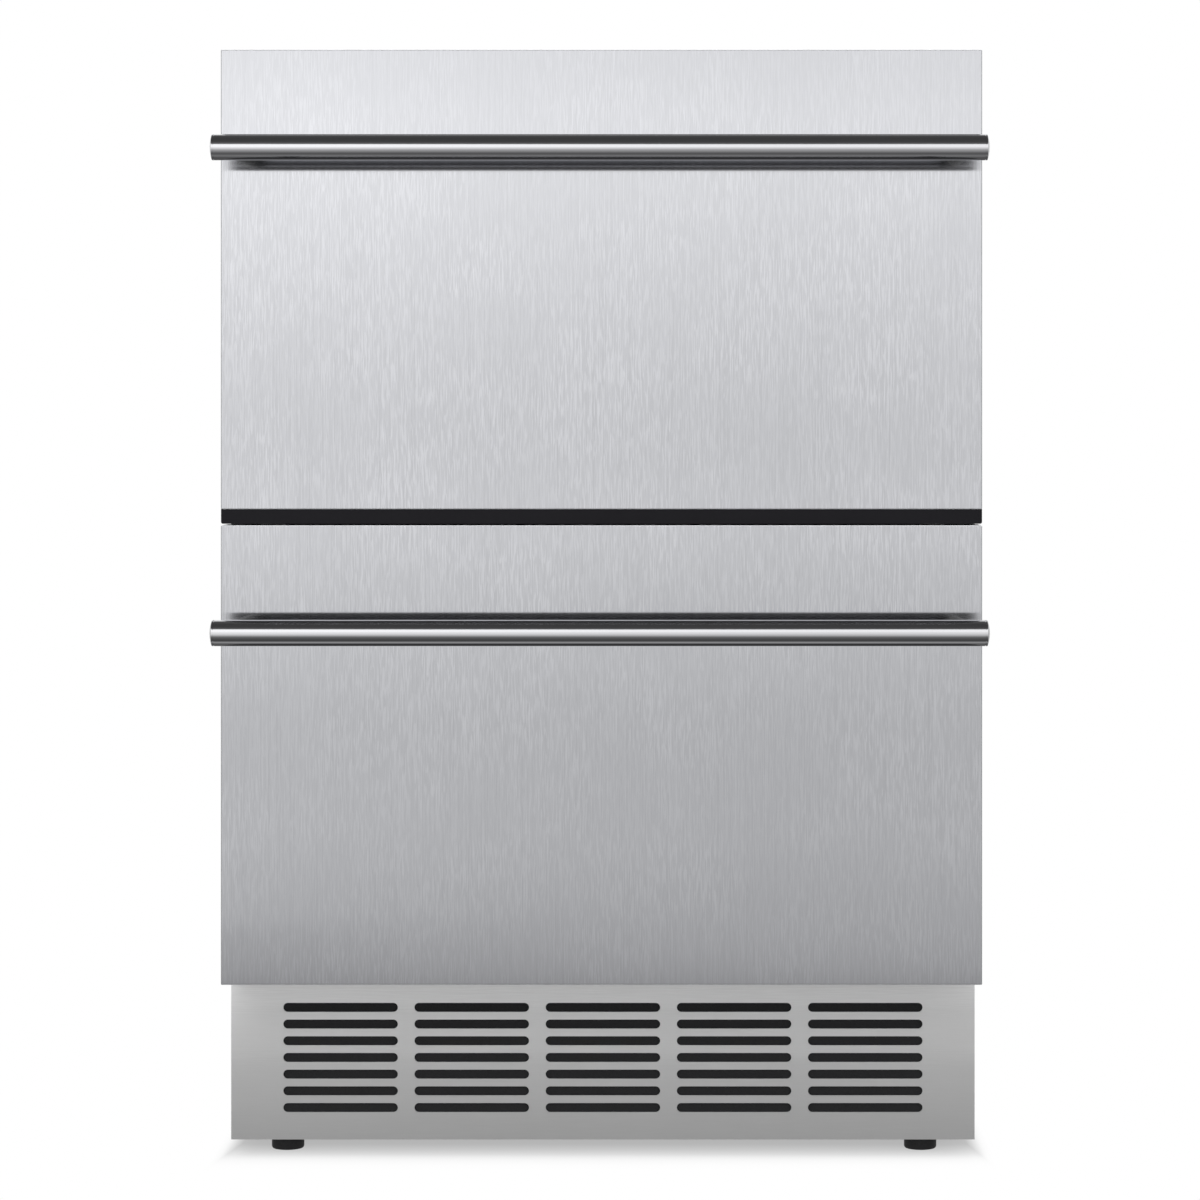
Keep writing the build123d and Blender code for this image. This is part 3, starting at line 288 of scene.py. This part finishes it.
def kick_steel():
    """Coated sheet with faint level hairlines, and painted shading: darker towards its lower edge, paler
    towards its top edge.
    """
    finish = Finish("kick_steel", metallic=0.5, roughness=0.3)
    low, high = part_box("kick_plate")
    height = finish.add("SeparateXYZ", {0: finish.add("TexCoord").outputs["Object"]}).outputs[2]
    # painted shading: the tone rises from the plate's lower edge to its upper one
    tone = finish.add("MapRange", {0: height, 1: low[2], 2: high[2], 3: 0.0, 4: 0.9}).outputs[0]
    hairlines = finish.noise(1.0, (40, 1500, 1500), detail=2.0)
    tone = finish.math("ADD", tone, finish.math("MULTIPLY", hairlines, 0.1))
    finish.colour(finish.ramp(tone, *kick_painted_shading))
    finish.roughness(hairlines, 0.28, 0.33)
    finish.bump(hairlines, 0.000004, 0.5)
    return finish.material


def galvanised(name, colour):
    """Zinc-coated sheet with pale crystals."""
    finish = Finish(name, metallic=0.8, roughness=0.45)
    cells = finish.add("TexVoronoi", {"Vector": finish.place(), "Scale": 150.0}).outputs["Color"]
    tone = finish.add("SeparateColor", {0: cells}).outputs[0]
    finish.colour(finish.ramp(tone, (0.0, shades(colour, 0.93)), (1.0, shades(colour, 1.05))))
    finish.roughness(tone, 0.43, 0.48)
    finish.bump(finish.noise(400.0), 0.00003, 0.4)
    return finish.material


def moulded(name, colour, roughness=0.45, grain=1100.0, depth=0.00004, spread=0.06, sheen=0.5):
    """Plastic or rubber with a fine moulded grain."""
    finish = Finish(name, roughness=roughness)
    fine = finish.noise(grain, detail=2.0)
    clouds = finish.noise(18.0, detail=2.0)
    finish.colour(finish.ramp(clouds, (0.3, shades(colour, 1 - spread)), (0.7, shades(colour, 1 + spread))))
    finish.roughness(fine, roughness * 0.9, min(1.0, roughness * 1.15))
    finish.set(finish.shader, Specular_IOR_Level=sheen)
    finish.bump(fine, depth, 0.6)
    return finish.material


def painted(name, colour, roughness=0.38):
    """Powder coat over sheet metal, with an orange peel surface."""
    finish = Finish(name, roughness=roughness)
    peel = finish.noise(260.0, detail=1.0)
    speckle = finish.noise(2400.0, detail=1.0)
    finish.colour(finish.ramp(speckle, (0.35, shades(colour, 0.9)), (0.7, shades(colour, 1.12))))
    finish.roughness(peel, roughness * 0.85, roughness * 1.15)
    finish.bump(peel, 0.00012, 0.45)
    return finish.material


def foam_material(name, colour):
    """Rigid foam with open cells."""
    finish = Finish(name, roughness=0.9)
    cells = finish.add("TexVoronoi", {"Vector": finish.place(), "Scale": 650.0}).outputs["Distance"]
    finish.colour(finish.ramp(cells, (0.0, shades(colour, 0.75)), (0.5, shades(colour, 1.1))))
    finish.bump(cells, 0.0004, 0.7)
    return finish.material


def frosted(name, colour):
    """A milky lamp cover with fine prisms."""
    finish = Finish(name, roughness=0.35)
    ribs = finish.add("TexWave", {"Vector": finish.place(), "Scale": 160.0}, bands_direction="X").outputs[1]
    finish.colour(finish.ramp(ribs, (0.0, shades(colour, 0.94)), (1.0, colour)))
    finish.set(finish.shader, Subsurface_Weight=0.2)
    finish.set(finish.shader, Emission_Color=grey((1.0, 0.98, 0.94)), Emission_Strength=0.25)
    finish.bump(ribs, 0.0002, 0.5)
    return finish.material


def digit_light():
    """Lit segments with a fine uneven grain."""
    finish = Finish("digit_light", roughness=0.4)
    grains = finish.noise(1800.0, detail=1.0)
    finish.colour((0.35, 0.6, 0.68, 1.0))
    glow = finish.ramp(grains, (0.3, (0.42, 0.78, 0.9)), (0.7, (0.55, 0.9, 1.0)))
    finish.set(finish.shader, Emission_Color=glow, Emission_Strength=1.4)
    return finish.material


def window(name, colour):
    """Dark polished glass with faint smudges."""
    finish = Finish(name, roughness=0.06)
    smudges = finish.noise(60.0, detail=3.0)
    finish.colour(finish.ramp(smudges, (0.3, shades(colour, 0.8)), (0.7, shades(colour, 1.3))))
    finish.roughness(smudges, 0.04, 0.12)
    finish.set(finish.shader, Coat_Weight=1.0, Coat_Roughness=0.03)
    return finish.material


def finishes():
    """Every material by the slot that it stands for."""
    return {
        "front_steel": brushed_steel(),
        "kick_steel": kick_steel(),
        "handle_steel": satin_steel("handle_steel", (0.715, 0.715, 0.737), 0.08, 0.015, under=bar_painted_shading),
        # painted shade: the handles' posts in a much darker steel than the bars
        "shaded_post_steel": satin_steel("shaded_post_steel", (0.3, 0.3, 0.303), 0.25, 0.03, edge=0.05),
        "tub_steel": satin_steel("tub_steel", (0.66, 0.665, 0.67), 0.36, 0.04, (30, 1, 30), 60.0, 0.55),
        "slide_steel": satin_steel("slide_steel", (0.5, 0.515, 0.54), 0.3, 0.05, (1, 12, 1), 160.0, 0.8),
        "zinc_steel": galvanised("zinc_steel", (0.64, 0.65, 0.66)),
        "screw_steel": satin_steel("screw_steel", (0.55, 0.55, 0.56), 0.28, 0.06, metallic=0.85),
        "cabinet_paint": painted("cabinet_paint", (0.035, 0.036, 0.038)),
        "machine_paint": painted("machine_paint", (0.02, 0.02, 0.021), 0.3),
        "trim_plastic": moulded("trim_plastic", (0.009, 0.0085, 0.0105), 0.6, sheen=0.12),
        "foot_plastic": moulded("foot_plastic", (0.012, 0.012, 0.013), 0.55),
        "fan_plastic": moulded("fan_plastic", (0.025, 0.025, 0.026), 0.4),
        "liner_plastic": moulded("liner_plastic", (0.72, 0.73, 0.73), 0.35, 500.0, 0.00006, 0.02),
        "panel_plastic": moulded("panel_plastic", (0.62, 0.63, 0.63), 0.4, 700.0, 0.00005, 0.02),
        "cover_plastic": moulded("cover_plastic", (0.68, 0.69, 0.69), 0.4, 700.0, 0.00005, 0.02),
        "gasket_rubber": moulded("gasket_rubber", (0.06, 0.06, 0.062), 0.6, 900.0, 0.00003),
        "grommet_rubber": moulded("grommet_rubber", (0.02, 0.02, 0.02), 0.7),
        "foam": foam_material("foam", (0.62, 0.5, 0.24)),
        "fin_aluminium": satin_steel("fin_aluminium", (0.75, 0.755, 0.76), 0.4, 0.05),
        "copper": satin_steel("copper", (0.75, 0.38, 0.22), 0.32, 0.1),
        "lamp_plastic": frosted("lamp_plastic", (0.88, 0.88, 0.86)),
        "control_plastic": moulded("control_plastic", (0.05, 0.051, 0.053), 0.42),
        "button_plastic": moulded("button_plastic", (0.09, 0.09, 0.093), 0.38),
        "window_glass": window("window_glass", (0.008, 0.009, 0.012)),
        "box_plastic": moulded("box_plastic", (0.03, 0.03, 0.031), 0.5),
        # painted shade: a near-black foam filter behind the kick plate's slots, standing in for the dark
        # inside
        "filter_foam": foam_material("filter_foam", (0.009, 0.009, 0.01)),
        "mark_paint": moulded("mark_paint", (0.62, 0.63, 0.64), 0.5, 2500.0, 0.00001),
        "digit_light": digit_light(),
    }


def dress_nodes():
    """Gives every node of the frame the material that its slot names, and the handles' posts a darker steel
    as painted shade.
    """
    for node in nodes.values():
        for slot in node.material_slots:
            slot.material = materials[slot.material.name.split(".")[0]]
    for posts in ("upper_handle_posts", "lower_handle_posts"):
        nodes[posts].material_slots[0].material = materials["shaded_post_steel"]


def studio_world():
    """White behind the object, a soft gradient in reflections and even light elsewhere."""
    world = bpy.data.worlds.new("studio")
    world.use_nodes = True
    scene.world = world
    light = Finish("studio", tree=world.node_tree)
    ways = light.add("SeparateXYZ", {0: light.add("TexCoord").outputs["Generated"]}).outputs
    height = light.math("DIVIDE", light.math("ARCSINE", ways[2]), pi / 2, clamp=True)
    skies = [[(angle / 90, level) for angle, level in sky] for sky in (front_sky, rear_sky)]
    ramps = [light.ramp(height, *stops) for stops in skies]
    behind = light.smooth_range(ways[1], -0.05, 0.15)
    mirror = light.add("Mix", {0: behind, 6: ramps[0], 7: ramps[1]}, data_type="RGBA").outputs[2]
    mirror = light.add("Background", {0: mirror, 1: mirror_light}).outputs[0]
    heights = {0: ways[2], 1: -1.0, 2: 1.0, 3: floor_light, 4: ceiling_light}
    even = light.add("MapRange", heights).outputs[0]
    even = light.add("Background", {0: grey(1.0), 1: even}).outputs[0]
    white = light.add("Background", {0: grey(1.0), 1: 1.0}).outputs[0]
    path = light.add("LightPath").outputs
    seen = light.math("MAXIMUM", path["Is Camera Ray"], path["Is Transmission Ray"])
    mixed = light.add("MixShader", {0: path["Is Glossy Ray"], 1: even, 2: mirror}).outputs[0]
    mixed = light.add("MixShader", {0: seen, 1: mixed, 2: white}).outputs[0]
    light.feed(world.node_tree.nodes["World Output"].inputs["Surface"], mixed)


def floor_material():
    """A pale floor that keeps the soft shadow under the object, deepened by a painted shadow, and is white
    beyond it.
    """
    finish = Finish("floor")
    place = finish.add("SeparateXYZ", {0: finish.add("TexCoord").outputs["Object"]}).outputs
    low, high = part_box("cabinet_sides")
    gaps = []
    for axis in (0, 1):
        middle = (low[axis] + high[axis]) / 2
        away = finish.math("ABSOLUTE", finish.math("SUBTRACT", place[axis], middle))
        gaps.append(finish.math("SUBTRACT", away, (high[axis] - low[axis]) / 2))
    gap = finish.math("MAXIMUM", *gaps)
    start, end = floor_share[0][0], floor_share[-1][0]
    beside = finish.math("MULTIPLY", finish.math("SUBTRACT", gaps[0], shadow_side), shadow_fall)
    edge = finish.math("MAXIMUM", beside, gaps[1])
    share = finish.add("MapRange", {0: edge, 1: start, 2: end}).outputs[0]
    share = finish.ramp(share, *(((gone - start) / (end - start), white) for gone, white in floor_share))
    path = finish.add("LightPath").outputs
    seen = finish.math("MULTIPLY", share, path["Is Camera Ray"])
    grain = finish.ramp(finish.noise(40.0), (0.3, 0.79), (0.7, 0.81))
    (far, dark), (near, light) = shadow_depth
    # painted shadow: the floor's colour darkened near the cabinet's outline, where the camera sees it
    depth = finish.add("MapRange", {0: edge, 1: far, 2: near, 3: dark, 4: light}).outputs[0]
    depth = finish.add("MapRange", {0: path["Is Camera Ray"], 3: 1.0, 4: depth}).outputs[0]
    bounce = {0: path["Is Diffuse Ray"], 3: depth, 4: floor_bounce}
    grain = finish.math("MULTIPLY", grain, finish.add("MapRange", bounce).outputs[0])
    ground = finish.add("BsdfDiffuse", {0: grain}).outputs[0]
    white = finish.add("Emission", {0: grey(1.0), 1: 1.0}).outputs[0]
    reach = floor_glow[-1][0]
    glow = finish.math("SQRT", finish.math("DIVIDE", gap, reach, clamp=True))
    glow = finish.ramp(glow, *((sqrt(distance / reach), level) for distance, level in floor_glow))
    glow = finish.add("Emission", {0: glow, 1: mirror_light}).outputs[0]
    mixed = finish.add("MixShader", {0: seen, 1: ground, 2: white}).outputs[0]
    mixed = finish.add("MixShader", {0: path["Is Glossy Ray"], 1: mixed, 2: glow}).outputs[0]
    finish.feed(finish.tree.nodes["Material Output"].inputs["Surface"], mixed)
    return finish.material


def floor():
    """The plain floor."""
    mesh = bpy.data.meshes.new("floor")
    half = floor_size / 2
    corners = [(-half, -half, 0), (half, -half, 0), (half, half, 0), (-half, half, 0)]
    mesh.from_pydata(corners, [], [(0, 1, 2, 3)])
    mesh.materials.append(floor_material())
    ground = bpy.data.objects.new("floor", mesh)
    scene.collection.objects.link(ground)


def wall_material():
    """Light that varies with height, from front to back and from left to right."""
    finish = Finish("wall")
    place = finish.add("SeparateXYZ", {0: finish.add("TexCoord").outputs["Object"]}).outputs
    height = finish.math("DIVIDE", place[2], wall_height)
    walls = [[(z / wall_height, level) for z, level in wall] for wall in (front_wall, rear_wall)]
    ramps = [finish.ramp(height, *stops) for stops in walls]
    behind = finish.smooth_range(place[1], -0.1, 0.5)
    light = finish.add("Mix", {0: behind, 6: ramps[0], 7: ramps[1]}, data_type="RGBA").outputs[2]
    aside = finish.add("MapRange", {0: place[0], 1: -wall_radius, 2: wall_radius}).outputs[0]
    aside = finish.ramp(aside, *(((x / wall_radius + 1) / 2, level) for x, level in side_light))
    light = finish.add("Emission", {0: light, 1: finish.math("MULTIPLY", aside, wall_light)}).outputs[0]
    finish.feed(finish.tree.nodes["Material Output"].inputs["Surface"], light)
    return finish.material


def studio_wall():
    """The round wall that only metal and gloss see."""
    steps = 96
    turns = [2 * pi * i / steps for i in range(steps)]
    ring = [(wall_radius * cos(turn), wall_radius * sin(turn)) for turn in turns]
    corners = [(x, y, z) for z in (0, wall_height) for x, y in ring]
    faces = [(i, (i + 1) % steps, (i + 1) % steps + steps, i + steps) for i in range(steps)]
    mesh = bpy.data.meshes.new("studio_wall")
    mesh.from_pydata(corners, [], faces)
    mesh.materials.append(wall_material())
    wall = bpy.data.objects.new("studio_wall", mesh)
    for kind in ("camera", "diffuse", "transmission", "shadow", "volume_scatter"):
        setattr(wall, f"visible_{kind}", False)
    scene.collection.objects.link(wall)


def soft_lamp(name, place, size, power):
    """A wide lamp that faces the object and shows in no reflection."""
    lamp = bpy.data.lights.new(name, "AREA")
    lamp.shape = "DISK"
    lamp.size = size
    lamp.energy = power
    holder = bpy.data.objects.new(name, lamp)
    holder.location = place
    aim = Vector(lamp_aim) - holder.location
    holder.rotation_euler = aim.to_track_quat("-Z", "Y").to_euler()
    holder.visible_glossy = False
    holder.visible_camera = False
    scene.collection.objects.link(holder)


def camera():
    """The photograph's camera, with the frame moved by its shift alone."""
    lens = bpy.data.cameras.new("camera")
    lens.sensor_width = sensor_width
    lens.lens = focal_pixels * sensor_width / image_size
    lens.shift_y = (horizon_row - image_size / 2) / image_size
    aside = middle_column - image_size / 2 + focal_pixels * camera_side / camera_distance
    lens.shift_x = -aside / image_size
    holder = bpy.data.objects.new("camera", lens)
    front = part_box("upper_drawer_skin")[0][1]
    holder.location = (camera_side, front - camera_distance, camera_height)
    holder.rotation_euler = (pi / 2, 0, 0)
    scene.collection.objects.link(holder)
    scene.camera = holder


def moved(part, place, axis=(0, 0, 1)):
    """A part turned from +Z to an axis and moved to a place."""
    turn = Vector((0, 0, 1)).rotation_difference(Vector(axis))
    return [turn @ Vector(corner) + Vector(place) for corner in part[0]], part[1]


def joined(*parts):
    """Several parts as one."""
    corners, faces = [], []
    for part_corners, part_faces in parts:
        faces += [[index + len(corners) for index in face] for face in part_faces]
        corners += part_corners
    return corners, faces


def build_piece(name, parts, slot, body, replaced=(), finish=None):
    """One piece of closed parts, in the material that finish names or else slot names, riding on a body."""
    corners, faces = joined(*parts)
    mesh = bpy.data.meshes.new(name)
    mesh.from_pydata(corners, [], faces)
    work = bmesh.new()
    work.from_mesh(mesh)
    bmesh.ops.recalc_face_normals(work, faces=work.faces)
    work.to_mesh(mesh)
    work.free()
    mesh.polygons.foreach_set("use_smooth", [True] * len(mesh.polygons))
    mesh.set_sharp_from_angle(angle=radians(35))
    mesh.materials.append(materials[finish or slot])
    piece = bpy.data.objects.new(name, mesh)
    scene.collection.objects.link(piece)
    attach(piece, body)
    if replaced:
        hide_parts(*replaced)


def rings_joined(rings):
    """Faces between rings of corner numbers, each ring as long as the next or a single corner."""
    faces = []
    for low, high in zip(rings, rings[1:]):
        steps = max(len(low), len(high))
        for i in range(steps):
            a, b = low[i % len(low)], low[(i + 1) % len(low)]
            c, d = high[(i + 1) % len(high)], high[i % len(high)]
            faces.append([a, b, c, d] if len({a, b, c, d}) == 4 else list(dict.fromkeys((a, b, c, d))))
    return faces


def lathe(profile, steps=32):
    """A turned shape about Z from (radius, height) pairs that starts and ends on the axis."""
    corners, rings = [], []
    for radius, height in profile:
        count = steps if radius else 1
        rings.append(range(len(corners), len(corners) + count))
        turns = [2 * pi * i / count for i in range(count)]
        corners += [(radius * cos(turn), radius * sin(turn), height) for turn in turns]
    return corners, rings_joined(rings)


def filled(outlines, first):
    """Triangles over a flat outline and its holes, from corner number first on."""
    flat = [[Vector((x, y, 0)) for x, y in outline] for outline in outlines]
    return [[first + index for index in triangle] for triangle in tessellate_polygon(flat)]


def prism(outline, low, high):
    """An upright solid on a flat outline."""
    count = len(outline)
    corners = [(x, y, z) for z in (low, high) for x, y in outline]
    faces = rings_joined([range(count), range(count, 2 * count)])
    return corners, faces + filled([outline], 0) + filled([outline], count)


def screw(radius, height, length):
    """A pan head screw with a cross recess; its head stands on z = 0."""
    steps, crown, shank = 28, 0.68 * radius, 0.44 * radius
    side = [(0, -length), (shank, -length), (shank, 0), (radius, 0), (radius, 0.35 * height),
            (0.94 * radius, 0.66 * height), (0.83 * radius, 0.88 * height), (crown, height)]
    corners, faces = lathe(side, steps)
    last = len(corners) - steps
    crosses = []
    for half, reach, depth in ((0.15, 0.56, 0.0), (0.1, 0.4, 0.75)):
        half, reach = half * radius, reach * radius
        quarter = [(reach, -half), (reach, half), (half, half)]
        cross = quarter + [(-y, x) for x, y in quarter] + [(-x, -y) for x, y in quarter]
        cross += [(y, -x) for x, y in quarter]
        crosses.append(cross)
        corners += [(x, y, height * (1 - depth)) for x, y in cross]
    rim = [corner[:2] for corner in corners[last:last + steps]]
    upper, lower = range(last + steps, last + steps + 12), range(last + steps + 12, last + steps + 24)
    faces += filled([rim, crosses[0]], last) + rings_joined([upper, lower]) + filled([crosses[1]], lower[0])
    return corners, faces


def screws(name, places, axis, body, size, replaced=()):
    """Screws of one size, all facing one way."""
    build_piece(name, [moved(screw(*size), place, axis) for place in places], "screw_steel", body, replaced)


def threaded_rod(low, high):
    """A stud about Z with a helical thread."""
    steps, rows = 24, int((high - low) / thread_pitch * 4)
    corners, rings = [(0, 0, low)], [[0]]
    for row in range(rows + 1):
        height = low + (high - low) * row / rows
        rings.append(range(len(corners), len(corners) + steps))
        for i in range(steps):
            phase = (height / thread_pitch - i / steps) % 1
            reach = stud_radius - thread_depth * (1 - abs(2 * phase - 1))
            corners.append((reach * cos(2 * pi * i / steps), reach * sin(2 * pi * i / steps), height))
    rings.append([len(corners)])
    corners.append((0, 0, high))
    return corners, rings_joined(rings)


def rear_screws():
    """The screws up both sides of the back panel and the rear cover."""
    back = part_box("rear_cover")[1][1]
    places = [(x, back, z) for x in (-rear_screw_side, rear_screw_side) for z in rear_screw_heights]
    screws("rear_screws", places, (0, 1, 0), "cabinet", rear_screw, ("panel_screws",))


def cover_screws():
    """The screws that hold the evaporator's cover."""
    low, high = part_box("evaporator_cover")
    aside, rise = 0.01, 0.014
    sides, heights = (low[0] + aside, high[0] - aside), (low[2] + rise, high[2] - rise)
    places = [(x, low[1], z) for x in sides for z in heights]
    screws("cover_screws", places, (0, -1, 0), "cabinet", cover_screw)


def tub_screws(drawer):
    """The screws that hold a tub's front wall to the drawer front."""
    low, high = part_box(f"{drawer}_drawer_tub")
    wall, side, rise = low[1] + 0.001, 0.2, 0.04
    places = [(x, wall, z) for x in (-side, side) for z in (low[2] + rise, high[2] - rise)]
    screws(f"{drawer}_tub_screws", places, (0, 1, 0), f"{drawer}_drawer", tub_screw)


def rail_details(drawer):
    """Screws and a release lever on the inner rails, and rivets on the middle rails."""
    low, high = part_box(f"{drawer}_slides_inner")
    middle = (low[2] + high[2]) / 2
    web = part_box(f"{drawer}_slides_middle")[1][0]
    lever = [(-0.0035, -0.03), (0.0035, -0.03), (0.0045, -0.012), (0.0035, 0.018), (0.0015, 0.032),
             (-0.0045, 0.034), (-0.0055, 0.03), (-0.003, 0.016), (-0.0045, -0.012)]
    hub = [(0, 0), (0.005, 0), (0.005, 0.0036), (0.0042, 0.0042), (0, 0.0042)]
    dome = [(0, -0.0005), (0.003, -0.0005), (0.003, 0.0001), (0.0025, 0.0004), (0.0012, 0.00055), (0, 0.0006)]
    heads, levers, rivets = [], [], []
    for side in (-1, 1):
        outward, tub = (side, 0, 0), side * tub_half_width
        heads += [moved(screw(*rail_screw), (tub, y, middle), outward) for y in rail_screw_places]
        levers.append(moved(prism(lever, 0.0, lever_thickness), (tub, lever_place, middle), outward))
        levers.append(moved(lathe(hub), (tub, hub_place, middle), outward))
        rivets += [moved(lathe(dome, 20), (side * web, y, middle + rise), outward)
                   for y in rivet_places for rise in (-rivet_rise, rivet_rise)]
    build_piece(f"{drawer}_rail_screws", heads, "screw_steel", f"{drawer}_drawer")
    build_piece(f"{drawer}_rail_levers", levers, "trim_plastic", f"{drawer}_drawer")
    build_piece(f"{drawer}_rail_rivets", rivets, "slide_steel", f"{drawer}_middle_rails")


def gasket(drawer):
    """A drawer's magnetic gasket: a base, a folded bellows and a rounded head."""
    low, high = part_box(f"{drawer}_drawer_gasket")
    side = [(0.001, 0.0), (0.0003, 0.0006), (0.0, 0.0016), (0.0006, 0.0026), (0.0032, 0.003),
            (0.0023, 0.004), (0.0035, 0.0052), (0.0027, 0.0064), (0.0009, 0.0067), (0.0, 0.0073),
            (0.0, 0.0089), (0.0007, 0.0095), (0.003, 0.0097), (0.006, 0.0097)]
    profile = side + [(gasket_width - inset, depth) for inset, depth in reversed(side[:-1])]
    corners, rings = [], []
    for x_side, z_side in ((0, 0), (1, 0), (1, 1), (0, 1)):
        rings.append(range(len(corners), len(corners) + len(profile)))
        for inset, depth in profile:
            x = low[0] + inset if x_side == 0 else high[0] - inset
            z = low[2] + inset if z_side == 0 else high[2] - inset
            corners.append((x, low[1] + depth, z))
    ring = (corners, rings_joined(rings + rings[:1]))
    replaced = (f"{drawer}_drawer_gasket",)
    build_piece(f"{drawer}_gasket_ring", [ring], "gasket_rubber", f"{drawer}_drawer", replaced)


def foot(name):
    """A levelling foot: a moulded pad, its nut and a threaded stud."""
    low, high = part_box(name)
    place = ((low[0] + high[0]) / 2, (low[1] + high[1]) / 2, 0)
    pad = [(0, 0), (0.0112, 0), (0.0121, 0.0002), (0.0127, 0.0008), (0.013, 0.0018), (0.013, 0.0108),
           (0.0127, 0.0116), (0.0119, 0.012), (0, 0.012)]
    nut = [(0, 0.012), (0.0093, 0.012), (0.01, 0.0124), (0.01, 0.0143), (0.0093, 0.0147), (0, 0.0147)]
    build_piece(f"{name}_pad", [moved(lathe(pad, 48), place)], "foot_plastic", name, (name,))
    stud = [moved(lathe(nut, 6), place), moved(threaded_rod(stud_base, high[2]), place)]
    build_piece(f"{name}_stud", stud, "screw_steel", name, (name,))


def digit(shape, x, z):
    """The lit segments of one digit, named a to g, as outlines."""
    wide, tall, half, gap = 0.0021, 0.0040, 0.00048, 0.0002
    across = [(-wide + gap, 0), (-wide + gap + half, half), (wide - gap - half, half), (wide - gap, 0),
              (wide - gap - half, -half), (-wide + gap + half, -half)]
    upright = [(0, -tall / 2 + gap), (half, -tall / 2 + gap + half), (half, tall / 2 - gap - half),
               (0, tall / 2 - gap), (-half, tall / 2 - gap - half), (-half, -tall / 2 + gap + half)]
    spots = {"a": (across, 0, tall), "b": (upright, wide, tall / 2), "c": (upright, wide, -tall / 2),
             "d": (across, 0, -tall), "e": (upright, -wide, -tall / 2), "f": (upright, -wide, tall / 2),
             "g": (across, 0, 0)}
    outlines = []
    for name in shape:
        outline, aside, rise = spots[name]
        outlines.append([(x + aside + u, z + rise + v) for u, v in outline])
    return outlines


def arc(radius, start, end):
    """Points on an arc about the origin, angles in degrees."""
    steps = 36
    turns = [radians(start + (end - start) * i / steps) for i in range(steps + 1)]
    return [(radius * cos(turn), radius * sin(turn)) for turn in turns]


def ring_outline(radius, stroke, start, end):
    """An open ring as an outline, angles in degrees."""
    return arc(radius, start, end) + arc(radius - stroke, end, start)


def control_marks():
    """Two digits with a degree ring, and plain symbols on the buttons."""
    low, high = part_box("display_window")
    middle = ((low[0] + high[0]) / 2, low[1], (low[2] + high[2]) / 2)
    outlines = digit("abcdg", -0.0052, 0.0) + digit("abcdefg", 0.0026, 0.0)
    degree = [(x + 0.0075, z + 0.0033) for x, z in ring_outline(0.001, 0.0004, 0, 350)]
    lit = [prism(outline, mark_depth, digit_height) for outline in outlines + [degree]]
    lit = [moved(part, middle, (0, -1, 0)) for part in lit]
    build_piece("display_digits", lit, "lamp_plastic", "cabinet", finish="digit_light")
    bar = [(-0.0003, 0.0006), (0.0003, 0.0006), (0.0003, 0.0027), (-0.0003, 0.0027)]
    rise = [(-0.0024, -0.0014), (0.0024, -0.0014), (0.0, 0.0022)]
    fall = [(-x, -z) for x, z in rise]
    marks = {"power": [ring_outline(0.0024, 0.0006, 125, 415), bar], "warmer": [rise], "cooler": [fall]}
    for name, outlines in marks.items():
        low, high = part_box(f"button_{name}")
        middle = ((low[0] + high[0]) / 2, low[1], (low[2] + high[2]) / 2)
        printed = [moved(prism(outline, mark_depth, mark_height), middle, (0, -1, 0)) for outline in outlines]
        build_piece(f"{name}_mark", printed, "button_plastic", f"button_{name}", finish="mark_paint")


materials = finishes()
dress_nodes()
rear_screws()
cover_screws()
for drawer_name in ("upper", "lower"):
    tub_screws(drawer_name)
    rail_details(drawer_name)
    gasket(drawer_name)
for foot_name in ("foot_front_left", "foot_front_right", "foot_rear_left", "foot_rear_right"):
    foot(foot_name)
control_marks()
studio_world()
floor()
studio_wall()
for lamp in lamps:
    soft_lamp(*lamp)
camera()
scene.view_settings.view_transform = "Standard"
